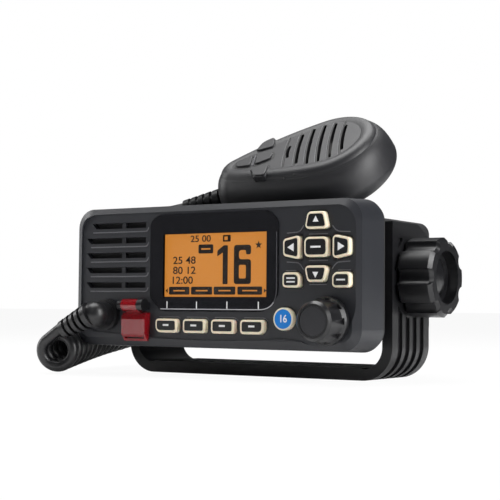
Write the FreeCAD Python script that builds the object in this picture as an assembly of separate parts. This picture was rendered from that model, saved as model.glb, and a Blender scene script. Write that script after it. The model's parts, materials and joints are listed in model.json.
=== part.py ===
import FreeCAD
import Part
import math
import os

# A compact fixed-mount marine radio in its yoke bracket, with its fist microphone laid on top.
# Millimetres. X to the right, Y to the back, Z up. The origin is the centre of the bracket's foot.

V = FreeCAD.Vector
OUT = "parts"
os.makedirs(OUT, exist_ok=True)

RUN = 0.05            # radial clearance of a shaft in its bore
SEAT = 0.15           # gap between a seated piece and its seat
KEY_GAP = 0.25        # gap round a key in its hole

# front panel
PANEL_W = 156.5
PANEL_H = 66.5
PANEL_R = 10.0
PANEL_DEPTH = 20.0
PANEL_FRONT = -57.0
PANEL_Z = 46.5
PANEL_DRAFT = 0.9
PANEL_WALL = 2.6
PANEL_SIDE = 1.8
RIM_W = 3.6
RIM_DROP = 2.0
FIELD_DEEP = 0.8

# chassis and the room beside it for its trunnions
CHASSIS_W = 126.0
CHASSIS_H = 56.0
CHASSIS_TOP = PANEL_Z + CHASSIS_H / 2
TRUNNION_OUT = 3.7
WASHER_T = 1.5
ARM_T = 5.0

# bracket
BRACKET_W = CHASSIS_W + 2 * (TRUNNION_OUT + WASHER_T + 2 * SEAT + ARM_T)
BRACKET_DEPTH = 38.0
FOOT_T = 5.7
ARM_TOP = 71.2
ARM_SLOPE_Y = 12.0
ARM_SLOPE_Z = 6.0
CORNER_OUT = 15.0
RIB_COUNT = 4
RIB_PITCH = 7.4
RIB_GROOVE = 4.2
RIB_DEEP = 1.3
RIB_TOP_MARGIN = 7.0
BOSS_R = 18.5
MOUNT_X = 60.0
MOUNT_Y = 22.0
MOUNT_R = 2.6

CHASSIS_REAR = 52.0
CHASSIS_R = 6.0
CHASSIS_WALL = 3.0
GASKET_T = 3.0
GASKET_IN = 1.0
FLANGE_T = 3.0
FLANGE_W = 144.0
FLANGE_H = 58.0
FIN_COUNT = 9
FIN_PITCH = 8.0
FIN_T = 2.4
FIN_DEEP = 10.0
TOP_RIB_COUNT = 8
TOP_RIB_PITCH = 13.0
TOP_RIB_H = 1.8
TOP_RIB_T = 2.4
TOP_RIB_START = 8.0
TRUNNION_R = 12.0
WASHER_R = 11.0

# clamp knobs
KNOB_R = 18.0
KNOB_W = 17.5
KNOB_LOBES = 7
KNOB_CHAMFER = 1.6
KNOB_RECESS_R = 12.0
KNOB_RECESS = 5.0
KNOB_DOME_R = 9.0
KNOB_DOME_H = 2.6
BOLT_R = 3.0
BOLT_LENGTH = 30.0

# display
WINDOW_L = -32.7
WINDOW_R = 37.2
WINDOW_TOP = 28.4
WINDOW_BOTTOM = -16.0
WINDOW_T = 1.2
WINDOW_PROUD = 0.3
WINDOW_SOFT = 4.6
LCD_L = -25.1
LCD_R = 31.1
LCD_BOTTOM = -9.5
LCD_TOP = 19.2
LCD_MARGIN = 3.5
LCD_T = 6.0

# speaker
SLOT_COUNT = 5
SLOT_PITCH = 7.0
SLOT_TOP = 24.0
SLOT_L = -71.2
FIRST_SLOT_IN = 3.2
SLOT_R = -35.5
SLOT_H = 2.7
SLOT_SLANT = 2.2
SPEAKER_R = 17.0
SPEAKER_DEEP = 14.0
CLOTH_T = 0.6

# keys
KEY_PROUD = 2.4
KEY_TRAVEL = 0.6
KEY_FLANGE = 1.0
NAV_FLANGE = 0.5
SOFT_FLANGE = 0.8
KEY_FLANGE_T = 1.0
SOFT_W = 12.4
SOFT_H = 6.3
SOFT_PITCH = 15.55
SOFT_FIRST_X = -21.7
SOFT_Z = -22.7
SOFT_R = 1.6
SOFT_END_R = 2.9
NAV_X = 57.0
NAV_Z = 11.8
NAV_STEP_X = 12.2
NAV_STEP_Z = 11.4
NAV_KEY_W = 8.4
NAV_KEY_H = 9.0
CENTRE_KEY_W = 11.7
CENTRE_KEY_H = 8.6
CORNER_KEY_Z = -2.2
CORNER_KEY_W = 8.8
CORNER_KEY_H = 6.6
NAV_R = 1.8
CENTRE_KEY_R = 2.4
WELL_DEEP = 0.7
BLUE_X = 41.1
BLUE_Z = -19.0
BLUE_R = 4.9

# volume knob
VOLUME_X = 62.6
VOLUME_Z = -19.6
VOLUME_BASE_R = 10.3
VOLUME_FRONT_R = 8.4
VOLUME_FACE_R = 7.3
VOLUME_PROUD = 14.5
VOLUME_SKIRT = 3.2
VOLUME_GRIPS = 9
VOLUME_GRIP_R = 1.6
VOLUME_GRIP_OUT = 1.9
VOLUME_GAP = 1.6
VOLUME_PUSH = 0.5
SHAFT_R = 3.0
SHAFT_IN_KNOB = 8.0

# distress cover and button
DISTRESS_X = -39.4
DISTRESS_W = 13.6
DISTRESS_TOP = -17.0
DISTRESS_BOTTOM = -30.0
DISTRESS_CHIN = -26.6
DISTRESS_PROUD = 4.4
DISTRESS_WALL = 1.1
HINGE_Z = -13.4
HINGE_OUT = 3.6
HINGE_R = 2.8
HINGE_PIN_R = 0.9
BARREL_L = -45.2
BARREL_R = -36.3
EAR_L_END = -48.0
EAR_R_END = -33.0
BUTTON_R = 4.4
BUTTON_PROUD = 2.2
BUTTON_TRAVEL = 1.5

# cord
WIRE_D = 5.2
CURL_R = 7.4
CURL_PITCH = 6.6
CURL_START = 115.0
CURL_END = 360.0
GLAND_X = -57.8
GLAND_Z = -18.0
GLAND_R = 7.3
GLAND_OUT = 9.6
BOOT_R0 = 6.0
BOOT_R1 = 4.3
BOOT_LENGTH = 17.0
BOOT_LEAD = 9.0
BOOT_SLOTS = 4
CURL_LINE = (
    (-79.0, -69.0, 10.5),
    (-94.0, -27.0, 15.8),
    (-102.5, 19.0, 20.6),
    (-104.0, 52.0, 30.0),
    (-101.0, 74.0, 46.0),
)
LEAD_LINE = (
    (-92.0, 48.0, CHASSIS_TOP - 1.5),
    (-86.0, 28.0, CHASSIS_TOP + 5.9),
    (-76.0, 7.0, CHASSIS_TOP + 6.3),
    (-67.0, -22.0, CHASSIS_TOP + 5.3),
)

# microphone, in its own frame: x from the cord end to the grille, y across, z out of its face
MIC_AT = (5.0, -25.0, CHASSIS_TOP + 26.8)
MIC_TURN = 12.6
MIC_RISE = 12.3
MIC_TILT = 38.0
MIC_TAIL = -23.5
MIC_NOSE = 64.5
MIC_TAIL_R = 13.0
MIC_NOSE_R = 29.0
MIC_AXIS = -1.5
MIC_SPLIT = -14.0
MIC_BACK = -24.0
MIC_WALL = 2.2
MIC_SLOTS = 6
MIC_SLOT_X = 17.2
MIC_SLOT_PITCH = 5.45
MIC_SLOT_W = 1.5
MIC_SLOT_HALF = (4.8, 12.8, 15.4, 16.2, 15.2, 10.8)
MIC_KEY_PROUD = 1.2
MIC_KEY_TRAVEL = 0.6
PTT_X0 = 2.0
PTT_X1 = 46.0
PTT_H = 9.0
PTT_PROUD = 2.4
PTT_TRAVEL = 1.6
HANG_X = 24.0
HANG_R = 8.0
HANG_NECK_R = 4.6
HANG_NECK = 6.9
HANG_HEAD = 3.0
MIC_BOOT_R0 = 5.0
MIC_BOOT_R1 = 3.7
MIC_BOOT_LENGTH = 19.0
MIC_CAPSULE_R = 4.8
MIC_CAPSULE_T = 4.5

AXIS_Z = PANEL_Z
PANEL_REAR = PANEL_FRONT + PANEL_DEPTH
GASKET_REAR = PANEL_REAR + GASKET_T
INNER_FACE = PANEL_FRONT + PANEL_WALL + FIELD_DEEP
FIELD_FACE = PANEL_FRONT + FIELD_DEEP
MIC_PLACE = FreeCAD.Placement(
    V(*MIC_AT),
    FreeCAD.Rotation(V(0, 0, 1), MIC_TURN)
    * FreeCAD.Rotation(V(0, 1, 0), -MIC_RISE)
    * FreeCAD.Rotation(V(1, 0, 0), MIC_TILT),
)


def save(name, shape):
    shape.exportStep(os.path.join(OUT, name + ".step"))


def xz(x, z, y):
    """A point of the front panel: x, and z from the panel's centre, at depth y."""
    return V(x, y, PANEL_Z + z)


def rounded(width, height, radius, y, cx=0.0, cz=0.0, radii=None):
    """A rounded rectangle in a plane of constant y. radii: top left, top right, bottom right, bottom left."""
    tl, tr, br, bl = radii or (radius,) * 4
    l, r = cx - width / 2, cx + width / 2
    b, t = cz - height / 2, cz + height / 2
    k = 1 - math.sqrt(0.5)
    edges = [
        Part.LineSegment(xz(l + tl, t, y), xz(r - tr, t, y)),
        Part.Arc(xz(r - tr, t, y), xz(r - k * tr, t - k * tr, y), xz(r, t - tr, y)),
        Part.LineSegment(xz(r, t - tr, y), xz(r, b + br, y)),
        Part.Arc(xz(r, b + br, y), xz(r - k * br, b + k * br, y), xz(r - br, b, y)),
        Part.LineSegment(xz(r - br, b, y), xz(l + bl, b, y)),
        Part.Arc(xz(l + bl, b, y), xz(l + k * bl, b + k * bl, y), xz(l, b + bl, y)),
        Part.LineSegment(xz(l, b + bl, y), xz(l, t - tl, y)),
        Part.Arc(xz(l, t - tl, y), xz(l + k * tl, t - k * tl, y), xz(l + tl, t, y)),
    ]
    return Part.Wire([e.toShape() for e in edges])


def plate(wire, depth):
    """The solid between a wire and the same wire moved back by depth."""
    return Part.Face(wire).extrude(V(0, depth, 0))


def polygon(points, y):
    pts = [xz(x, z, y) for x, z in points]
    return Part.makePolygon(pts + pts[:1])


def disc(x, z, radius, y0, y1):
    """A cylinder along Y on the front panel."""
    return Part.makeCylinder(radius, y1 - y0, xz(x, z, y0), V(0, 1, 0))


def box(x0, x1, y0, y1, z0, z1):
    return Part.makeBox(x1 - x0, y1 - y0, z1 - z0, V(x0, y0, z0))


def window_outline(grow, y):
    """The display window: its two left corners are cut small, its two right ones large."""
    l, r = WINDOW_L - grow, WINDOW_R + grow
    b, t = WINDOW_BOTTOM - grow, WINDOW_TOP + grow
    return polygon([(l, b + 6.0), (l + 6.4, b), (r - 8.0, b), (r, b + 7.4), (r, t - 4.5), (r - 5.0, t),
                    (l + 6.0, t), (l, t - 2.6)], y)


def window_plate(grow, y, depth):
    """The window's outline as a solid with softened corners."""
    return soften(plate(window_outline(grow, y), depth), WINDOW_SOFT + grow, along_y)


def slot_outline(i, y):
    z = SLOT_TOP - i * SLOT_PITCH
    left = SLOT_L + (FIRST_SLOT_IN if i == 0 else 0.0)
    return polygon([(left, z + SLOT_H / 2), (SLOT_R, z + SLOT_H / 2), (SLOT_R, z - SLOT_H / 2),
                    (left + SLOT_SLANT, z - SLOT_H / 2)], y)


def field_outline(y):
    """The sunk field of the face: straight above, and a wavy chin below."""
    l, r = -PANEL_W / 2 + RIM_W + 0.7, PANEL_W / 2 - RIM_W + 0.4
    t = PANEL_H / 2 - RIM_W
    chin = [(-62.0, -26.0), (-35.0, -28.2), (-4.0, -29.0), (29.0, -28.7), (40.0, -27.6)]
    edges = [
        Part.LineSegment(xz(l + 9, t, y), xz(r - 9, t, y)),
        Part.Arc(xz(r - 9, t, y), xz(r - 2.6, t - 2.6, y), xz(r, t - 9, y)),
        Part.LineSegment(xz(r, t - 9, y), xz(r, -12.0, y)),
        Part.Arc(xz(r, -12.0, y), xz(r - 9.5, -28.4, y), xz(r - 26.0, -28.6, y)),
        Part.LineSegment(xz(r - 26.0, -28.6, y), xz(chin[4][0], chin[4][1], y)),
        Part.Arc(xz(*chin[4], y), xz(*chin[2], y), xz(*chin[0], y)),
        Part.Arc(xz(*chin[0], y), xz(l + 2.6, -22.4, y), xz(l, -15.0, y)),
        Part.LineSegment(xz(l, -15.0, y), xz(l, t - 9, y)),
        Part.Arc(xz(l, t - 9, y), xz(l + 2.6, t - 2.6, y), xz(l + 9, t, y)),
    ]
    return Part.Wire([e.toShape() for e in edges])


def soft_outline(i, grow, y):
    inner, outer = SOFT_R + grow, SOFT_END_R + grow
    low_left = outer if i == 0 else inner
    low_right = outer if i == 3 else inner
    return rounded(SOFT_W + 2 * grow, SOFT_H + 2 * grow, inner, y, SOFT_FIRST_X + i * SOFT_PITCH, SOFT_Z,
                   (inner, inner, low_right, low_left))


def nav_keys():
    """Name, centre, size and the cut of the corners of each key round the centre key."""
    step_x, step_z = NAV_STEP_X, NAV_STEP_Z
    return (
        ("key_up", NAV_X, NAV_Z + step_z, CENTRE_KEY_W, 7.4),
        ("key_down", NAV_X, NAV_Z - step_z, CENTRE_KEY_W, 7.0),
        ("key_left", NAV_X - step_x, NAV_Z, NAV_KEY_W, 10.6),
        ("key_right", NAV_X + step_x, NAV_Z, NAV_KEY_W, 10.6),
        ("key_enter", NAV_X, NAV_Z, CENTRE_KEY_W, CENTRE_KEY_H),
        ("key_menu", NAV_X - step_x, CORNER_KEY_Z, CORNER_KEY_W, CORNER_KEY_H),
        ("key_clear", NAV_X + step_x, CORNER_KEY_Z, CORNER_KEY_W, CORNER_KEY_H),
    )


def nav_outline(key, grow, y):
    """A key's outline: the four round the centre are tapered towards or away from it."""
    name, cx, cz, w, h = key
    l, r, b, t = cx - w / 2 - grow, cx + w / 2 + grow, cz - h / 2 - grow, cz + h / 2 + grow
    cut = 1.7
    shapes = {
        "key_up": [(l + cut, t), (r - cut, t), (r, b), (l, b)],
        "key_down": [(l, t), (r, t), (r - cut, b), (l + cut, b)],
        "key_left": [(l, t - cut), (r, t), (r, b), (l, b + cut)],
        "key_right": [(l, t), (r, t - cut), (r, b + cut), (l, b)],
        "key_clear": [(l + cut, t), (r, t), (r, b), (l, b), (l, t - cut)],
        "key_menu": [(l, t), (r - cut, t), (r, t - cut), (r, b), (l, b)],
    }
    pts = shapes.get(name, [(l, t), (r, t), (r, b), (l, b)])
    return polygon(pts, y)


def soften(shape, radius, keep):
    """Round the edges for which keep(edge) holds."""
    edges = [e for e in shape.Edges if keep(e)]
    return shape.makeFillet(radius, edges) if edges else shape


def along_y(edge):
    a, b = edge.Vertexes[0].Point, edge.Vertexes[-1].Point
    return abs(a.x - b.x) < 1e-6 and abs(a.z - b.z) < 1e-6 and abs(a.y - b.y) > 1e-6


# the front panel and what it carries

def make_front_panel():
    back_w, back_h = PANEL_W, PANEL_H
    front_w, front_h = PANEL_W - 2 * PANEL_DRAFT, PANEL_H - 2 * PANEL_DRAFT
    skirt = Part.makeLoft([
        rounded(back_w, back_h, PANEL_R, PANEL_REAR),
        rounded(front_w, front_h, PANEL_R - PANEL_DRAFT, PANEL_FRONT + RIM_DROP),
        rounded(front_w - 2 * RIM_W, front_h - 2 * RIM_W, PANEL_R - PANEL_DRAFT - RIM_W, PANEL_FRONT),
    ], True, True)
    inner_w, inner_h = front_w - 2 * PANEL_SIDE, front_h - 2 * PANEL_SIDE
    cavity = plate(rounded(inner_w, inner_h, PANEL_R - 2 * PANEL_SIDE, INNER_FACE), PANEL_DEPTH)
    panel = skirt.cut(cavity)
    panel = panel.cut(plate(field_outline(PANEL_FRONT - 1), FIELD_DEEP + 1))
    cuts = [window_plate(SEAT, FIELD_FACE - 1, 1 + WINDOW_T - WINDOW_PROUD)]
    cuts.append(box(LCD_L - SEAT, LCD_R + SEAT, PANEL_FRONT, INNER_FACE + 1,
                    PANEL_Z + LCD_BOTTOM - SEAT, PANEL_Z + LCD_TOP + SEAT))
    for i in range(SLOT_COUNT):
        cuts.append(plate(slot_outline(i, PANEL_FRONT - 1), PANEL_WALL + 3))
    for i in range(4):
        cuts.append(plate(soft_outline(i, KEY_GAP, PANEL_FRONT - 1), PANEL_WALL + 3))
    for key in nav_keys():
        cuts.append(plate(nav_outline(key, KEY_GAP, PANEL_FRONT - 1), PANEL_WALL + 3))
    cuts.append(disc(BLUE_X, BLUE_Z, BLUE_R + KEY_GAP, PANEL_FRONT - 1, INNER_FACE + 1))
    cuts.append(disc(VOLUME_X, VOLUME_Z, SHAFT_R + RUN, PANEL_FRONT - 1, INNER_FACE + 1))
    cuts.append(disc(GLAND_X, GLAND_Z, WIRE_D / 2 + 1.0, PANEL_FRONT - 1, INNER_FACE + 1))
    cuts.append(disc(DISTRESS_X, (DISTRESS_TOP + DISTRESS_BOTTOM) / 2, BUTTON_R + KEY_GAP,
                     PANEL_FRONT - 1, INNER_FACE + 1))
    return panel.cut(Part.makeCompound(cuts)).removeSplitter()


def make_panel_gasket():
    w, h = PANEL_W - 2 * GASKET_IN, PANEL_H - 2 * GASKET_IN
    outer = plate(rounded(w, h, PANEL_R - GASKET_IN, PANEL_REAR), GASKET_T)
    hole_w, hole_h = CHASSIS_W - 2 * CHASSIS_WALL, CHASSIS_H - 2 * CHASSIS_WALL
    inner = plate(rounded(hole_w, hole_h, CHASSIS_R - 3, PANEL_REAR - 1), GASKET_T + 2)
    return outer.cut(inner)


def make_window():
    return window_plate(0.0, FIELD_FACE - WINDOW_PROUD, WINDOW_T)


def make_lcd():
    glass_front = FIELD_FACE - WINDOW_PROUD + WINDOW_T + SEAT
    glass = box(LCD_L, LCD_R, glass_front, INNER_FACE + 1, PANEL_Z + LCD_BOTTOM, PANEL_Z + LCD_TOP)
    frame = box(LCD_L - LCD_MARGIN, LCD_R + LCD_MARGIN, INNER_FACE + SEAT, INNER_FACE + LCD_T,
                PANEL_Z + LCD_BOTTOM - LCD_MARGIN, PANEL_Z + LCD_TOP + LCD_MARGIN)
    return glass.fuse(frame).removeSplitter()


def make_speaker():
    cx, cz = (SLOT_L + SLOT_R) / 2, SLOT_TOP - SLOT_PITCH * (SLOT_COUNT - 1) / 2
    y = INNER_FACE + CLOTH_T + 2 * SEAT
    profile = [(0, 2.5), (3.5, 1.2), (SPEAKER_R - 3.5, 0.4), (SPEAKER_R - 1.5, 0), (SPEAKER_R, 0),
               (SPEAKER_R, 2.0), (9.5, 8.0), (9.5, SPEAKER_DEEP), (0, SPEAKER_DEEP)]
    pts = [xz(cx + r, cz, y + d) for r, d in profile]
    face = Part.Face(Part.makePolygon(pts + pts[:1]))
    return face.revolve(xz(cx, cz, y), V(0, 1, 0), 360)


def make_speaker_cloth():
    cx, cz = (SLOT_L + SLOT_R) / 2, SLOT_TOP - SLOT_PITCH * (SLOT_COUNT - 1) / 2
    width, height = SLOT_R - SLOT_L + 4.0, SLOT_PITCH * (SLOT_COUNT - 1) + 7.0
    return plate(rounded(width, height, 3.0, INNER_FACE + SEAT, cx, cz), CLOTH_T)


def key_solid(outline, corner):
    """A key: a cap through the wall, and a wider flange behind it. outline(grow, y) gives its wire."""
    cap = plate(outline(0.0, FIELD_FACE - KEY_PROUD), KEY_PROUD + PANEL_WALL + KEY_TRAVEL)
    cap = soften(cap, corner, along_y)
    front = FIELD_FACE - KEY_PROUD
    crown = [e for e in cap.Edges if max(abs(v.Point.y - front) for v in e.Vertexes) < 1e-6]
    cap = cap.makeFillet(0.7, crown)
    flange = plate(outline(NAV_FLANGE, INNER_FACE + SEAT), KEY_FLANGE_T + KEY_TRAVEL)
    return cap.fuse(flange).removeSplitter()


def make_soft_key(i):
    cap = plate(soft_outline(i, 0.0, FIELD_FACE - KEY_PROUD), KEY_PROUD + PANEL_WALL + KEY_TRAVEL)
    front = FIELD_FACE - KEY_PROUD
    crown = [e for e in cap.Edges if max(abs(v.Point.y - front) for v in e.Vertexes) < 1e-6]
    cap = cap.makeFillet(0.7, crown)
    flange = plate(soft_outline(i, SOFT_FLANGE, INNER_FACE + SEAT), KEY_FLANGE_T + KEY_TRAVEL)
    return cap.fuse(flange).removeSplitter()


def make_nav_key(key):
    return key_solid(lambda grow, y: nav_outline(key, grow, y), NAV_R if key[0] != "key_enter" else CENTRE_KEY_R)


def make_blue_key():
    cap = disc(BLUE_X, BLUE_Z, BLUE_R, FIELD_FACE - KEY_PROUD, INNER_FACE + SEAT + KEY_TRAVEL)
    front = [e for e in cap.Edges if max(abs(v.Point.y - FIELD_FACE + KEY_PROUD) for v in e.Vertexes) < 1e-6]
    cap = cap.makeFillet(0.8, front)
    flange = disc(BLUE_X, BLUE_Z, BLUE_R + KEY_FLANGE, INNER_FACE + SEAT, INNER_FACE + SEAT + KEY_FLANGE_T)
    return cap.fuse(flange).removeSplitter()


def make_key_board():
    """The board behind the keys, in two wings joined below the display."""
    y0 = INNER_FACE + LCD_T + SEAT
    right, top, bottom, cut = PANEL_W / 2 - 5.0, PANEL_H / 2 - 5.5, -PANEL_H / 2 + 4.6, 5.0
    inner_x, inner_z, left = LCD_R + LCD_MARGIN + 1.9, LCD_BOTTOM - LCD_MARGIN - 1.5, DISTRESS_X - 7.4
    outline = [(left, bottom), (right - cut, bottom), (right, bottom + cut), (right, top - cut), (right - cut, top),
               (inner_x, top), (inner_x, inner_z), (left, inner_z)]
    board = plate(polygon(outline, y0), 1.6)
    domes = []
    reach = INNER_FACE + SEAT + KEY_FLANGE_T + KEY_TRAVEL + KEY_TRAVEL + SEAT
    for i in range(4):
        domes.append(disc(SOFT_FIRST_X + i * SOFT_PITCH, SOFT_Z, 2.0, reach, y0 + 0.5))
    for key in nav_keys():
        domes.append(disc(key[1], key[2], 2.0, reach, y0 + 0.5))
    domes.append(disc(BLUE_X, BLUE_Z, 2.0, reach, y0 + 0.5))
    for dome in domes:
        board = board.fuse(dome)
    return board.cut(disc(VOLUME_X, VOLUME_Z, SHAFT_R + 1.0, y0 - 1, y0 + 3)).removeSplitter()


def volume_profile():
    """Half section of the volume knob: radius and distance in front of the field."""
    return [(0, VOLUME_PROUD), (VOLUME_FACE_R, VOLUME_PROUD), (VOLUME_FRONT_R, VOLUME_PROUD - 1.3),
            (VOLUME_FRONT_R + 0.9, VOLUME_GAP + VOLUME_SKIRT + 1.0), (VOLUME_BASE_R, VOLUME_GAP + VOLUME_SKIRT - 1.0),
            (VOLUME_BASE_R, VOLUME_GAP), (0, VOLUME_GAP)]


def make_volume_knob():
    pts = [xz(VOLUME_X + r, VOLUME_Z, FIELD_FACE - d) for r, d in volume_profile()]
    face = Part.Face(Part.makePolygon(pts + pts[:1]))
    knob = face.revolve(xz(VOLUME_X, VOLUME_Z, FIELD_FACE), V(0, 1, 0), 360)
    dish = disc(VOLUME_X, VOLUME_Z, VOLUME_FACE_R - 0.9, FIELD_FACE - VOLUME_PROUD - 1, FIELD_FACE - VOLUME_PROUD + 0.5)
    knob = knob.cut(dish)
    grips = []
    for i in range(VOLUME_GRIPS):
        a = 2 * math.pi * i / VOLUME_GRIPS
        r = VOLUME_FRONT_R + VOLUME_GRIP_OUT
        grips.append(disc(VOLUME_X + r * math.cos(a), VOLUME_Z + r * math.sin(a), VOLUME_GRIP_R,
                          FIELD_FACE - VOLUME_PROUD + 1.0, FIELD_FACE - VOLUME_GAP - VOLUME_SKIRT))
    knob = knob.cut(Part.makeCompound(grips))
    bore = disc(VOLUME_X, VOLUME_Z, SHAFT_R + RUN, FIELD_FACE - VOLUME_GAP - SHAFT_IN_KNOB, FIELD_FACE)
    return knob.cut(bore).removeSplitter()


def make_volume_shaft():
    front = FIELD_FACE - VOLUME_GAP - SHAFT_IN_KNOB + SEAT
    shaft = disc(VOLUME_X, VOLUME_Z, SHAFT_R, front, INNER_FACE + LCD_T + 2.0)
    collar = disc(VOLUME_X, VOLUME_Z, SHAFT_R + 1.6, INNER_FACE + SEAT, INNER_FACE + 1.4)
    return shaft.fuse(collar).removeSplitter()


def make_encoder():
    """The encoder's can behind the key board, bored for its shaft."""
    y0 = INNER_FACE + LCD_T + SEAT + 1.6 + SEAT
    can = plate(rounded(13.0, 13.0, 1.0, y0, VOLUME_X - 3.0, VOLUME_Z), 5.0)
    return can.cut(disc(VOLUME_X, VOLUME_Z, SHAFT_R + RUN, y0 - 1, y0 + 2.0))


# the distress button under its sprung cover

def make_distress_cover():
    x0, x1 = DISTRESS_X - DISTRESS_W / 2, DISTRESS_X + DISTRESS_W / 2
    top, bottom = PANEL_Z + DISTRESS_TOP, PANEL_Z + DISTRESS_BOTTOM
    face = FIELD_FACE - SEAT
    front = FIELD_FACE - DISTRESS_PROUD
    chin = PANEL_Z + DISTRESS_CHIN
    side = [V(x0, face, top), V(x0, front + 1.4, top), V(x0, front, top - 3.0), V(x0, front + 0.4, bottom + 3.0),
            V(x0, front + 2.6, bottom), V(x0, PANEL_FRONT - SEAT, bottom), V(x0, PANEL_FRONT - SEAT, chin),
            V(x0, face, chin)]
    shell = Part.Face(Part.makePolygon(side + side[:1])).extrude(V(DISTRESS_W, 0, 0))
    w = DISTRESS_WALL
    inside = box(x0 + w, x1 - w, front + w + SEAT, face + 1, bottom + w, top - w)
    shell = shell.cut(inside)
    barrel = Part.makeCylinder(HINGE_R, BARREL_R - BARREL_L, V(BARREL_L, FIELD_FACE - HINGE_OUT, PANEL_Z + HINGE_Z),
                               V(1, 0, 0))
    web = box(BARREL_L + 0.4, BARREL_R - 0.4, front + 1.5, face - 1.0, top - 1.0, PANEL_Z + HINGE_Z)
    bore = Part.makeCylinder(HINGE_PIN_R + RUN, 30, V(BARREL_L - 5, FIELD_FACE - HINGE_OUT, PANEL_Z + HINGE_Z), V(1, 0, 0))
    return shell.fuse(web).fuse(barrel).cut(bore).removeSplitter()


def make_distress_ears():
    """The two fixed ears of the hinge, on a foot plate that is fixed to the panel."""
    y, z = FIELD_FACE - HINGE_OUT, PANEL_Z + HINGE_Z
    spans = ((EAR_L_END, BARREL_L - SEAT, HINGE_R - 0.6, BARREL_L - SEAT),
             (BARREL_R + SEAT, EAR_R_END, HINGE_R + 0.1, WINDOW_L - 2 * SEAT))
    ears = []
    for x0, x1, r, foot_x1 in spans:
        ear = Part.makeCylinder(r, x1 - x0, V(x0, y, z), V(1, 0, 0))
        foot = box(x0, foot_x1, y, FIELD_FACE, z - r * 0.5, z + r * 0.5)
        hole = Part.makeCylinder(HINGE_PIN_R + 0.02, x1 - x0 - 1.0, V(x0 + (1.0 if x0 < DISTRESS_X - 5 else 0.0), y, z),
                                 V(1, 0, 0))
        ears.append(ear.fuse(foot).cut(hole).removeSplitter())
    return Part.makeCompound(ears)


def make_distress_pin():
    length = EAR_R_END - EAR_L_END - 2.4
    return Part.makeCylinder(HINGE_PIN_R, length, V(EAR_L_END + 1.2, FIELD_FACE - HINGE_OUT, PANEL_Z + HINGE_Z), V(1, 0, 0))


def make_distress_button():
    z = (DISTRESS_TOP + DISTRESS_BOTTOM) / 2
    cap = disc(DISTRESS_X, z, BUTTON_R, FIELD_FACE - BUTTON_PROUD, INNER_FACE + SEAT + 1)
    front = [e for e in cap.Edges if max(abs(v.Point.y - FIELD_FACE + BUTTON_PROUD) for v in e.Vertexes) < 1e-6]
    cap = cap.makeFillet(0.8, front)
    flange = disc(DISTRESS_X, z, BUTTON_R + 1.0, INNER_FACE + SEAT, INNER_FACE + SEAT + 1.2)
    return cap.fuse(flange).removeSplitter()


def make_distress_switch():
    z = (DISTRESS_TOP + DISTRESS_BOTTOM) / 2
    y0 = INNER_FACE + SEAT + 1.2 + BUTTON_TRAVEL + SEAT
    return plate(rounded(12.0, 12.0, 1.0, y0, DISTRESS_X, z), INNER_FACE + LCD_T + SEAT - y0)


# the chassis and what closes it

def make_chassis():
    y0 = GASKET_REAR
    flange = plate(rounded(FLANGE_W, FLANGE_H, PANEL_R - 4, y0), FLANGE_T)
    body = plate(rounded(CHASSIS_W, CHASSIS_H, CHASSIS_R, y0), CHASSIS_REAR - FIN_DEEP - y0)
    chassis = flange.fuse(body)
    for side in (-1, 1):
        x = side * CHASSIS_W / 2
        boss = Part.makeCylinder(TRUNNION_R, TRUNNION_OUT, V(x, 0, AXIS_Z), V(side, 0, 0))
        chassis = chassis.fuse(boss)
    fins = []
    for i in range(FIN_COUNT):
        x = (i - (FIN_COUNT - 1) / 2) * FIN_PITCH - FIN_T / 2
        fins.append(box(x, x + FIN_T, CHASSIS_REAR - FIN_DEEP - 1, CHASSIS_REAR,
                        PANEL_Z - CHASSIS_H / 2, PANEL_Z + CHASSIS_H / 2))
    for i in range(TOP_RIB_COUNT):
        x = (i - (TOP_RIB_COUNT - 1) / 2) * TOP_RIB_PITCH - TOP_RIB_T / 2
        fins.append(box(x, x + TOP_RIB_T, TOP_RIB_START, CHASSIS_REAR - FIN_DEEP,
                        PANEL_Z + CHASSIS_H / 2 - 1, PANEL_Z + CHASSIS_H / 2 + TOP_RIB_H))
    for fin in fins:
        chassis = chassis.fuse(fin)
    w = CHASSIS_WALL
    inside = plate(rounded(CHASSIS_W - 2 * w, CHASSIS_H - 2 * w, CHASSIS_R - 3, y0 - 1),
                   CHASSIS_REAR - FIN_DEEP - w - y0 + 1)
    chassis = chassis.cut(inside)
    thread = BOLT_LENGTH
    for side in (-1, 1):
        bore = Part.makeCylinder(BOLT_R + RUN, thread, V(side * (CHASSIS_W / 2 - w - 1), 0, AXIS_Z), V(side, 0, 0))
        chassis = chassis.cut(bore)
    for x, z, r in rear_ports():
        chassis = chassis.cut(disc(x, z, r, CHASSIS_REAR - FIN_DEEP - w - 1, CHASSIS_REAR))
    return chassis.removeSplitter()


def rear_ports():
    """Holes in the rear wall: the antenna socket, the supply inlet and the data inlet."""
    return ((ANTENNA_X, ANTENNA_Z, 6.0), (POWER_X, POWER_Z, 5.0), (DATA_X, DATA_Z, 4.0))


PORT_IN = 13.0
ANTENNA_X, ANTENNA_Z = PORT_IN - CHASSIS_W / 2, 8.0
ANTENNA_R = 7.95
ANTENNA_LENGTH = 12.0
POWER_X, POWER_Z = CHASSIS_W / 2 - PORT_IN, 10.0
DATA_X, DATA_Z = CHASSIS_W / 2 - PORT_IN, -10.0


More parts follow.
